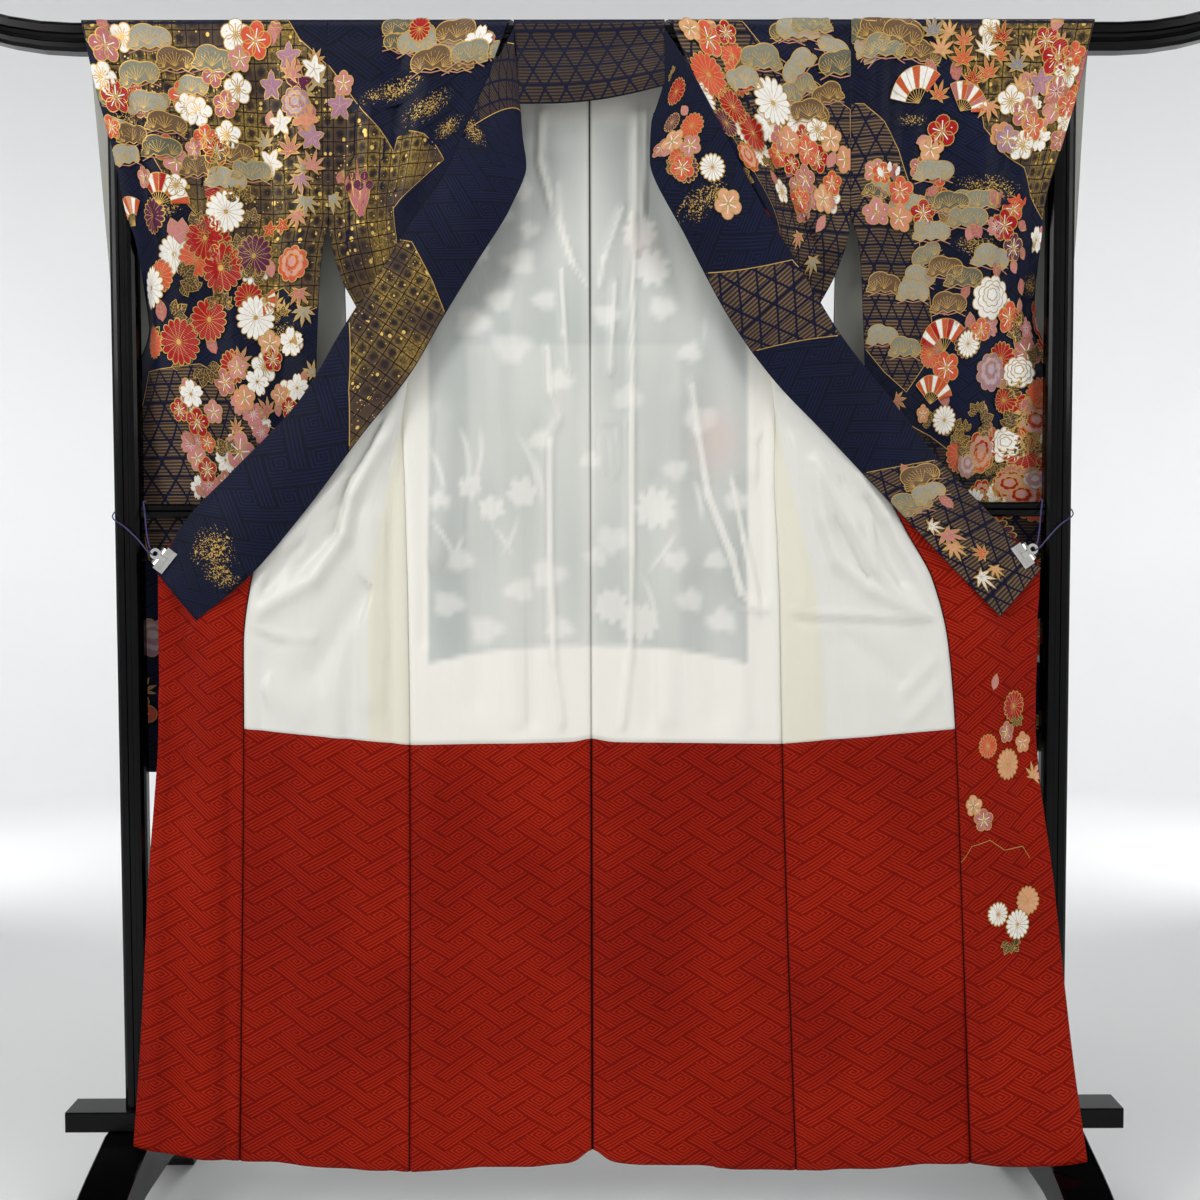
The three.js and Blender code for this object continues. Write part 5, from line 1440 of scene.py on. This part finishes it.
# ground fields over the navy: photo pixels round each outline, then corners out of sight in flat millimetres
FIELDS = {
    "sleeve_front_L": (
        ("lattice", ((60, 10), (274, 10), (300, 40), (334, 72), (340, 230), (336, 300), (306, 312),
            (284, 288), (262, 296), (246, 262), (226, 240), (196, 214), (170, 186), (150, 150),
            (128, 118), (112, 84))),
        ("kagome", ((150, 372), (200, 364), (236, 384), (250, 418), (290, 436), (310, 470), (300, 530),
            (230, 560), (150, 560), (130, 450))),
    ),
    "front_L": (
        ("lattice", ((326, 62), (346, 88), (364, 112), (380, 130), (394, 152), (398, 138), (410, 131),
            (424, 134), (436, 146), (444, 160)),
         ((120, 260), (140, 420), (150, 560), (0, 560), (0, 300))),
    ),
    "sleeve_front_R": (
        ("lattice", ((922, 0), (1110, 0), (1110, 60), (1090, 130), (1062, 200), (1050, 240), (1030, 196),
            (1024, 168), (1000, 150), (984, 128), (978, 96), (960, 72), (938, 44), (926, 26))),
        ("kagome", ((846, 104), (864, 104), (884, 122), (898, 150), (908, 180), (920, 250), (930, 300),
            (934, 352), (906, 392), (884, 372), (866, 350), (846, 350))),
        ("kagome_navy", ((900, 420), (930, 436), (960, 460), (1000, 470), (1060, 476), (1060, 560),
            (880, 560))),
    ),
    "front_R": (
        ("kagome", ((664, 20), (742, 22), (762, 46), (790, 66), (818, 84), (850, 110)),
         ((0, 200), (0, 560), (150, 560), (150, 420), (170, 300), (215, 200), (245, 110))),
    ),
    "collar_L": (
        ("kagome_navy", ((440, 60), (540, 60), (540, 128), (470, 128))),
        ("lattice", ((380, 236), (412, 242), (432, 280), (446, 316), (410, 392), (349, 466), (349, 390),
            (349, 318))),
    ),
    "collar_R": (
        ("kagome", ((690, 274), (792, 260), (856, 334), (752, 352))),
        ("kagome", ((850, 476), (950, 458), (1060, 580), (1010, 640))),
    ),
}

# gold powder: the middle in photo pixels, half its size both ways in flat millimetres, and its lean
POWDER = {
    "sleeve_front_L": (
        (272, 334, 62, 22, 0.1), (130, 120, 36, 18, 0), (168, 208, 30, 16, 0.2), (244, 470, 30, 18, 0),
    ),
    "front_L": ((392, 92, 74, 20, -0.3), (426, 108, 62, 28, -0.45), (448, 128, 40, 24, -0.4)),
    "sleeve_front_R": (
        (990, 186, 72, 24, -0.1), (975, 244, 50, 22, 0), (1030, 285, 40, 24, 0), (912, 120, 34, 12, 0),
        (1030, 470, 40, 22, 0),
    ),
    "collar_L": ((212, 552, 44, 52, 0.4), (222, 572, 40, 36, 0), (470, 128, 50, 26, -0.3)),
    "collar_R": ((706, 198, 56, 22, 0.3), (690, 208, 44, 18, 0.3)),
}

# the few motifs on the red lining of the right overlap, and the gold cloud line below them
OKUMI = (
    ("leaf", "pink", 993, 690, 16, 20), ("mum", "red", 1013, 706, 19, 0),
    ("plum", "rose", 1006, 732, 14, 0), ("plum", "salmon", 1022, 742, 14, 0),
    ("mum", "coral", 988, 746, 15, 0), ("mum", "peach", 1007, 764, 20, 0),
    ("plum", "peach", 974, 806, 14, 0), ("plum", "rose", 984, 820, 15, 0),
    ("maple", "peach", 1034, 776, 22, 30), ("spray", "leaf", 1016, 716, 16, 180),
    ("mum", "peach", 1027, 900, 18, 0), ("mum", "white", 998, 914, 15, 0),
    ("mum", "white", 1017, 924, 19, 0), ("spray", "leaf", 1010, 940, 20, 180),
)
OKUMI_CLOUD = ((962, 862), (972, 846), (990, 840), (1004, 850), (1022, 846), (1030, 858))

SCATTER_TONES = {
    "pine": ("grey", "sage", "brown", "moss"),
    "spray": ("leaf",),
    "leaf": ("rose", "pink"),
    "mum": ("red", "white", "coral", "purple", "red"),
    "peony": ("white", "red", "mauve", "coral", "red"),
    "maple": ("coral", "pink", "rose", "grey", "peach"),
    "bell": ("mauve", "salmon", "white"),
    "plum": ("red", "white", "coral", "pink", "salmon", "rose"),
    "cherry": ("white", "white", "pink"),
}

# thin places between the motifs, filled with smaller ones: a box in photo pixels, how many, kinds, sizes
FILLERS = {
    "sleeve_front_L": (
        (100, 30, 215, 170, 16, ("pine", "plum", "plum", "leaf"), 15, 20),
        (262, 40, 322, 180, 14, ("bell", "leaf", "maple"), 15, 21),
        (150, 190, 262, 372, 30, ("spray", "spray", "mum", "leaf"), 20, 27),
        (262, 270, 322, 380, 10, ("maple", "leaf", "plum", "spray"), 16, 22),
        (165, 380, 310, 495, 30, ("leaf", "plum", "cherry", "plum", "maple"), 14, 19),
    ),
    "sleeve_front_R": (
        (862, 30, 925, 62, 6, ("pine",), 18, 22),
        (925, 28, 1095, 110, 20, ("maple", "leaf", "plum", "maple"), 15, 21),
        (1000, 95, 1075, 160, 10, ("plum", "leaf", "cherry"), 15, 19),
        (872, 165, 950, 225, 12, ("leaf", "plum", "pine"), 14, 18),
        (900, 185, 1000, 320, 16, ("pine", "pine", "leaf"), 18, 23),
        (985, 205, 1050, 330, 14, ("leaf", "plum", "leaf", "cherry"), 15, 20),
        (925, 330, 1060, 420, 22, ("spray", "mum", "plum", "leaf"), 17, 24),
        (930, 420, 1060, 510, 34, ("spray", "mum", "peony", "spray"), 18, 27),
    ),
    "front_L": (
        (398, 28, 508, 72, 8, ("pine", "leaf"), 17, 22), (336, 90, 352, 200, 4, ("leaf", "bell"), 14, 18),
    ),
    "front_R": (
        (664, 24, 745, 120, 14, ("plum", "mum", "leaf", "spray"), 15, 21),
        (745, 28, 852, 120, 8, ("pine",), 17, 22),
        (735, 120, 800, 180, 8, ("mum", "spray", "leaf"), 17, 23),
        (775, 130, 846, 215, 16, ("plum", "leaf", "plum"), 14, 19),
    ),
    "collar_R": (
        (655, 60, 700, 175, 9, ("plum", "leaf", "mum", "spray"), 14, 19),
        (890, 480, 1000, 580, 6, ("pine", "leaf", "maple"), 17, 21),
    ),
}

GARDEN = ("pine", "plum", "mum", "cherry", "spray", "plum", "maple", "peony", "plum", "pine", "mum")


def scatter(overlay, low_t, high_t, count, seed):
    """Fills a hidden stretch of the print with the same motifs, sizes and colours as the part that shows."""
    dice = random.Random(seed)
    for _ in range(count):
        kind = dice.choice(GARDEN)
        tone = dice.choice(SCATTER_TONES[kind])
        centre = np.array([dice.uniform(0, overlay.panel.width), dice.uniform(low_t, high_t)])
        overlay.motif(kind, centre, dice.uniform(16, 30), tone, dice.uniform(-0.5, 0.5))


def place(overlay, table, reach=1.0):
    """The motifs of a table, each where its own row says."""
    for line in table:
        row = dict(zip(PLACE_COLUMNS, line))
        centre = overlay.panel.locate(row["x"], row["y"], reach)
        overlay.motif(row["kind"], centre, row["size"], row["tone"], math.radians(-row["turn"]))


def print_front(name):
    """The print of a panel that shows from the front."""
    panel = PANELS[name]
    overlay = Overlay(panel)
    reach = 0.3 if name.startswith("front") else 1.0        # the print shows on the upper fronts only
    for material, outline, *tail in FIELDS.get(name, ()):
        st = [panel.locate(x, y, reach) for x, y in outline]
        st += [np.array(corner, float) for corner in (tail[0] if tail else ())]
        overlay.region(material, np.array(st))
    for at, (x0, y0, x1, y1, count, kinds, low, high) in enumerate(FILLERS.get(name, ())):
        dice = random.Random(100 * at + len(name) + ord(name[-1]))
        for _ in range(count):
            kind = dice.choice(kinds)
            spot = panel.locate(dice.uniform(x0, x1), dice.uniform(y0, y1), reach)
            size = dice.uniform(low, high) * (1.3 if kind == "pine" else 1.0)
            tone = dice.choice(SCATTER_TONES[kind])
            overlay.motif(kind, spot, size, tone, dice.uniform(-0.6, 0.6))
    if name == "collar_neck":
        w, length = panel.width, panel.length
        overlay.region("kagome_navy", np.array([(0.0, 0.0), (w, 0), (w, length), (0, length)]), outline=False)
    for x, y, half_s, half_t, lean in POWDER.get(name, ()):
        overlay.powder(panel.locate(x, y, reach), half_s, half_t, lean)
    place(overlay, PLACED.get(name, ()), reach)
    return overlay


MOTIF_ROOM = 5200                # square millimetres of hidden cloth to a motif


def print_hidden(name, seed):
    """Fields and motifs for the parts that only show from behind."""
    panel = PANELS[name]
    overlay = Overlay(panel)
    w, length = panel.width, panel.length
    dice = random.Random(seed)
    for k, material in enumerate(("lattice", "kagome", "kagome_navy", "lattice")):
        low = length * (0.04 + 0.25 * k) + dice.uniform(-20, 20)
        corners = [(-20, low), (w * 0.55, low - 30), (w + 20, low + 50), (w + 20, low + 150),
                   (w * 0.4, low + 190), (-20, low + 120)]
        overlay.region(material, cloud_edge(corners))
    for k in range(4):
        spot = np.array([dice.uniform(0, w), dice.uniform(0, length)])
        overlay.powder(spot, 55, 26, dice.uniform(-0.5, 0.5))
    scatter(overlay, 0.02 * length, length, round(w * length / MOTIF_ROOM), seed + 1)
    return overlay


# the print seen through the white lining: pale flowers (petals 0 is a soft blot) and blades, in photo pixels
GHOST_FLOWERS = rows(("x", "y", "r", "petals"),
    (520, 190, 15, 0), (498, 214, 17, 0), (478, 250, 12, 8), (520, 262, 18, 0), (500, 300, 16, 0),
    (472, 322, 20, 0), (512, 348, 22, 0), (545, 300, 14, 0), (606, 316, 16, 0), (640, 232, 17, 8),
    (652, 268, 18, 8), (662, 308, 16, 0), (690, 352, 14, 0), (628, 398, 18, 0), (560, 380, 16, 0),
    (700, 420, 20, 0), (676, 470, 14, 0), (470, 486, 12, 6), (492, 508, 13, 6), (522, 492, 15, 6),
    (655, 508, 21, 9), (540, 440, 14, 0), (612, 540, 20, 0), (596, 556, 14, 0), (548, 574, 20, 0),
    (520, 590, 17, 0), (460, 560, 16, 0), (448, 604, 18, 0), (486, 630, 20, 0), (612, 606, 17, 9),
    (640, 622, 19, 9), (560, 628, 16, 0), (690, 600, 16, 0), (716, 560, 14, 0), (722, 620, 18, 0),
    (676, 560, 15, 0), (440, 500, 13, 0), (736, 500, 15, 0), (590, 460, 12, 0), (530, 230, 12, 0))
GHOST_BLADES = rows(("x", "y", "lean", "long"),
    (468, 455, 0.15, 34), (480, 462, -0.2, 40), (532, 462, 0.35, 34), (540, 478, 0.2, 30),
    (446, 540, 0.6, 26), (456, 552, -0.5, 24), (504, 540, 0.7, 22), (512, 536, -0.4, 24),
    (664, 552, -0.7, 26), (652, 600, 0.3, 30), (700, 500, 0.2, 26), (440, 470, 0.3, 30))
GHOST_BOX = {"left": 426, "right": 750, "top": 106, "low": 648, "middle": 588}     # photo pixels
GHOST_PALER = {"left": 464, "right": 684, "top": 344}
GHOST_BLUSH = rows(("x", "y", "wide", "high", "strength"), (715, 440, 22, 30, 1), (640, 245, 18, 20, 0.5))
CREASE_WIDTH = 5.5               # narrower folds are creases: the lining lifts off the print there, and the white is painted paler along them, partly as a painted highlight
SEAM_ALLOWANCE = 62.0            # the width beside a seam where the white looks creamier
SHADOW = 1.7                     # how far a seam's shadow reaches on the white


def ghost(panel, flat):
    """Tint of the white lining: the print behind shows through as soft grey with pale flowers; the white is
    painted paler along the creases, partly because the lining lifts off the print there and partly as a
    painted highlight, and darker at the centre seam as a painted shadow.
    """
    px, py = project(panel.on(flat, 0) / MM)
    left, right, top, middle = (GHOST_BOX[side] for side in ("left", "right", "top", "middle"))
    low = GHOST_BOX["low"] + 17 * np.clip(np.abs(px - middle) / 155, 0, 1) ** 2.4
    inside = smooth((px - left) / 5) * smooth((right - px) / 5)
    inside *= smooth((low - py) / 5) * smooth((py - top) / 30)
    inside *= 1 - 0.25 * np.exp(-((px - middle) / 8) ** 2)
    paler = smooth((py - GHOST_PALER["top"]) / 4) * smooth((px - GHOST_PALER["left"]) / 8)
    inside *= 1 - 0.22 * paler * smooth((GHOST_PALER["right"] - px) / 8)
    sharp = FOLDS["back"]["width"] < CREASE_WIDTH
    creases = {name: column[sharp] for name, column in FOLDS["back"].items()}
    # painted highlight in part: the white is made paler along crease ridges, where the lining also lifts off
    # the print
    lifted = smooth(fold_height(creases, px, py) / 2.2 - 0.9)
    inside *= 1 - 0.8 * lifted
    pale = np.zeros_like(px)
    for x, y, r, petals in zip(*GHOST_FLOWERS.values()):
        angle = np.arctan2(py - y, px - x)
        if petals:
            outline = 0.72 + 0.34 * np.abs(np.cos(angle * petals / 2 + x))
        else:
            outline = 0.95 + 0.12 * np.sin(3 * angle + x) + 0.08 * np.sin(5 * angle + y)
        away = np.hypot(px - x, (py - y) * (1.0 if petals else 1.25)) / (r * outline)
        pale = np.maximum(pale, smooth((1.15 - away) / (0.3 if petals else 0.6)) * (0.85 if petals else 0.7))
    for x, y, lean, long in zip(*GHOST_BLADES.values()):
        off = np.abs((px - x) - lean * (py - y) + 0.006 * (py - y) ** 2)
        pale = np.maximum(pale, smooth((4.0 - off) / 3) * smooth((long - np.abs(py - y)) / 20) * 0.65)
    blush = sum(strength * np.exp(-((px - x) / wide) ** 2 - ((py - y) / high) ** 2)
                for x, y, wide, high, strength in zip(*GHOST_BLUSH.values()))
    cream, shadow, lit, rosy = (np.array(colour(c)) for c in ("F1EFE6", "B7BCB8", "EFEDE7", "E0C4BA"))
    cloud = 0.5 + 0.22 * np.sin(px / 27 + 1.3 * np.sin(py / 41))
    cloud += 0.2 * np.sin(py / 33 + 1.7 * np.sin(px / 38))
    cloud += 0.14 * np.sin((px - middle) / 6.5 + 0.9 * np.sin(py / 70))
    shade = mix(shadow, lit, np.clip(0.34 * cloud + pale * 0.72, 0, 1)[:, None])
    shade = mix(shade, rosy, (blush * 0.5)[:, None])
    tint = mix(cream, shade, inside[:, None])
    return opaque(tint * (1 - 0.8 * np.exp(-((flat[:, :1] / SHADOW) ** 2))))


def opaque(tint):
    return np.concatenate([tint, np.ones((len(tint), 1))], axis=1)


def white_tint(_, flat):
    """Plain white with the creamier width of the seam allowance behind it, and the seam's shadow."""
    near = smooth((SEAM_ALLOWANCE - flat[:, 0]) / 3) * smooth((flat[:, 1] - 400) / 60)
    tint = mix(np.array(colour("E4E4DD")), np.array(colour("E6E3D2")), near[:, None])
    return opaque(tint * (1 - 0.75 * np.exp(-((flat[:, :1] / SHADOW) ** 2))))


# painted shade: the sleeve linings are white silk given an even grey, as it looks in deep shade
def white_in_painted_shade(_, flat):
    return opaque(np.repeat(np.array(colour("A8A8A0"))[None], len(flat), axis=0))


def piece(obj, nodes):
    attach(obj, "root")
    if nodes:
        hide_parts(*nodes)
    return obj


RIM = 1.15                       # how far a layer's edge turns in
COLLAR_RIM = 3.0                 # the doubled collar's two faces and how far their edges turn in
COLLAR_INSIDE = 1.5
COLLAR_INSIDE_RIM = 0.8
SPLIT = LINING_LENGTH / BODY_LENGTH

# linings of each cut of panel: name, colour, and where they start and end down the panel
LININGS = {
    "body": (("lining", "white", 0.0, SPLIT), ("hem_lining", "red", SPLIT, 1.0)),
    "overlap": (("lining", "red", 0.0, 1.0),),
    "sleeve": (("lining", "white", 0.0, 1.0),),
}
# each part, what holds it up, its cut, and the tint of its white lining
PARTS = (
    ("back", "rail", "body", ghost),
    ("front", "rail", "body", white_tint),
    ("overlap", "front", "overlap", None),
    ("sleeve_front", "rail", "sleeve", white_in_painted_shade),
    ("sleeve_back", "rail", "sleeve", white_in_painted_shade),
)
# stretches of the print that don't show from the front: from which level, how many motifs, the dice's seed
UNSEEN = {"front": (520, 46, 60), "overlap": (60, 30, 90), "sleeve_front": (560, 26, 40)}
HIDDEN_SEEDS = {"back": 20, "sleeve_back": 30}


def print_of(part, hand):
    """The print of a panel, filled up where it isn't seen from the front."""
    name = f"{part}_{hand}"
    if part in HIDDEN_SEEDS:
        return print_hidden(name, HIDDEN_SEEDS[part] + ord(hand))
    low_t, count, seed = UNSEEN[part]
    overlay = print_front(name)
    scatter(overlay, low_t, overlay.panel.length, count, seed + ord(hand))
    return overlay


def dress(hand, part, holder, cut, tint):
    """A panel's outer cloth with its print, and its linings."""
    name = f"{part}_{hand}"
    panel = PANELS[name]
    drawn = piece(print_of(part, hand).build(f"{name}_print"), ())
    outer = shell(f"{name}_cloth", panel, FINISH_LIFT, RIM, MATERIALS["navy"])
    piece(outer, [name])
    for lining, shade, v_from, v_to in LININGS[cut]:
        node = f"{part}_{lining}_{hand}"
        lined = shell(f"{node}_cloth", panel, -FINISH_LIFT, RIM, MATERIALS[shade], v_from, v_to,
                      tint if shade == "white" else None)
        piece(lined, [node])


for hand in "LR":
    for part in PARTS:
        dress(hand, *part)

okumi = Overlay(PANELS["overlap_R"], outer=False)
place(okumi, OKUMI)
okumi.line(np.array([PANELS["overlap_R"].locate(x, y) for x, y in OKUMI_CLOUD]), 0.5, GOLD, 0.8)
piece(okumi.build("overlap_lining_R_print"), ())

for name in ("collar_L", "collar_R", "collar_neck"):
    panel = PANELS[name]
    drawn = piece(print_front(name).build(f"{name}_print"), ())
    band = shell(f"{name}_cloth", panel, FINISH_LIFT, COLLAR_RIM, MATERIALS["navy"])
    piece(band, [name])
    behind = shell(f"{name}_inside", panel, -COLLAR_INSIDE, COLLAR_INSIDE_RIM, MATERIALS["navy"])
    piece(behind, ())

# ---------------------------------------------------------------- the stand, clips and cords
KEPT = {"clip": "nickel", "string": "string", "rail": "lacquer", "crossbar": "lacquer",
        "base_beam": "lacquer", "post": "lacquer", "foot": "lacquer"}
for node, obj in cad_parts.items():
    for start, kind in KEPT.items():
        if node.startswith(start):
            obj.data.materials.clear()
            obj.data.materials.append(MATERIALS[kind])

# ---------------------------------------------------------------- floor, backdrop and light
WALL = 4.6                       # metres from the middle to the backdrop


def studio():
    """A round paper floor that curves up into a wall on every side, further out than any camera."""
    radius, bend, top, count = WALL, 0.9, 5.0, 96
    profile = [(0.01, 0.0), (radius - bend, 0.0)]
    profile += [(radius - bend + bend * math.sin(a), bend - bend * math.cos(a))
                for a in np.linspace(0.1, math.pi / 2, 12)]
    profile.append((radius, top))
    verts = [(r * math.cos(a), r * math.sin(a), z) for r, z in profile
             for a in np.linspace(0, 2 * math.pi, count, endpoint=False)]
    index = np.arange(len(verts)).reshape(-1, count)
    after = np.roll(index, -1, axis=1)
    faces = [tuple(quad) for quad in
             np.stack([index[:-1], index[1:], after[1:], after[:-1]], axis=-1).reshape(-1, 4).tolist()]
    faces.append(tuple(range(count)))
    backdrop = new_object("backdrop", verts, faces)
    p = Paint("paper", Roughness=0.9)
    paper = p.mix(p.noise(2, 2.0, where=p.place()), "F0F1F2", "F5F6F6")
    backdrop.data.materials.append(p.paint(Base_Color=paper))


def light(name, place, aim, size, power, tint=(1, 1, 1)):
    data = bpy.data.lights.new(name, "AREA")
    data.shape = "RECTANGLE"
    data.size, data.size_y = size
    data.energy = power
    data.color = tint
    lamp = bpy.data.objects.new(name, data)
    lamp.location = place
    lamp.rotation_euler = (Vector(aim) - Vector(place)).to_track_quat("-Z", "Y").to_euler()
    lamp.visible_camera = False
    bpy.context.scene.collection.objects.link(lamp)


studio()
light("key_left", (-2.2, -2.3, 2.3), (0, 0, 0.9), (0.9, 1.8), 41, (1.0, 0.985, 0.97))
light("key_right", (2.3, -2.4, 2.2), (0, 0, 0.9), (0.9, 1.8), 19, (0.99, 0.985, 0.98))
light("overhead", (0, -0.9, 3.4), (0, 0.0, 0.7), (2.4, 1.2), 30)
light("behind", (0.3, 3.2, 2.8), (0, 0, 0.5), (1.6, 1.0), 34)
for number, (angle, power) in enumerate(((38, 24), (142, 22), (218, 10), (322, 10))):
    c, d = math.cos(math.radians(angle)), math.sin(math.radians(angle))
    aim = (WALL * c * 0.4, WALL * d * 1.25, 1.5)
    light(f"wall_{number}", (2.7 * c, 2.7 * d, 1.5), aim, (0.6, 2.2), power)
world = bpy.data.worlds.new("world")
world.use_nodes = True
world.node_tree.nodes["Background"].inputs[0].default_value = (0.93, 0.95, 1.0, 1)
world.node_tree.nodes["Background"].inputs[1].default_value = 0.05
bpy.context.scene.world = world
bpy.context.scene.view_settings.view_transform = "Standard"
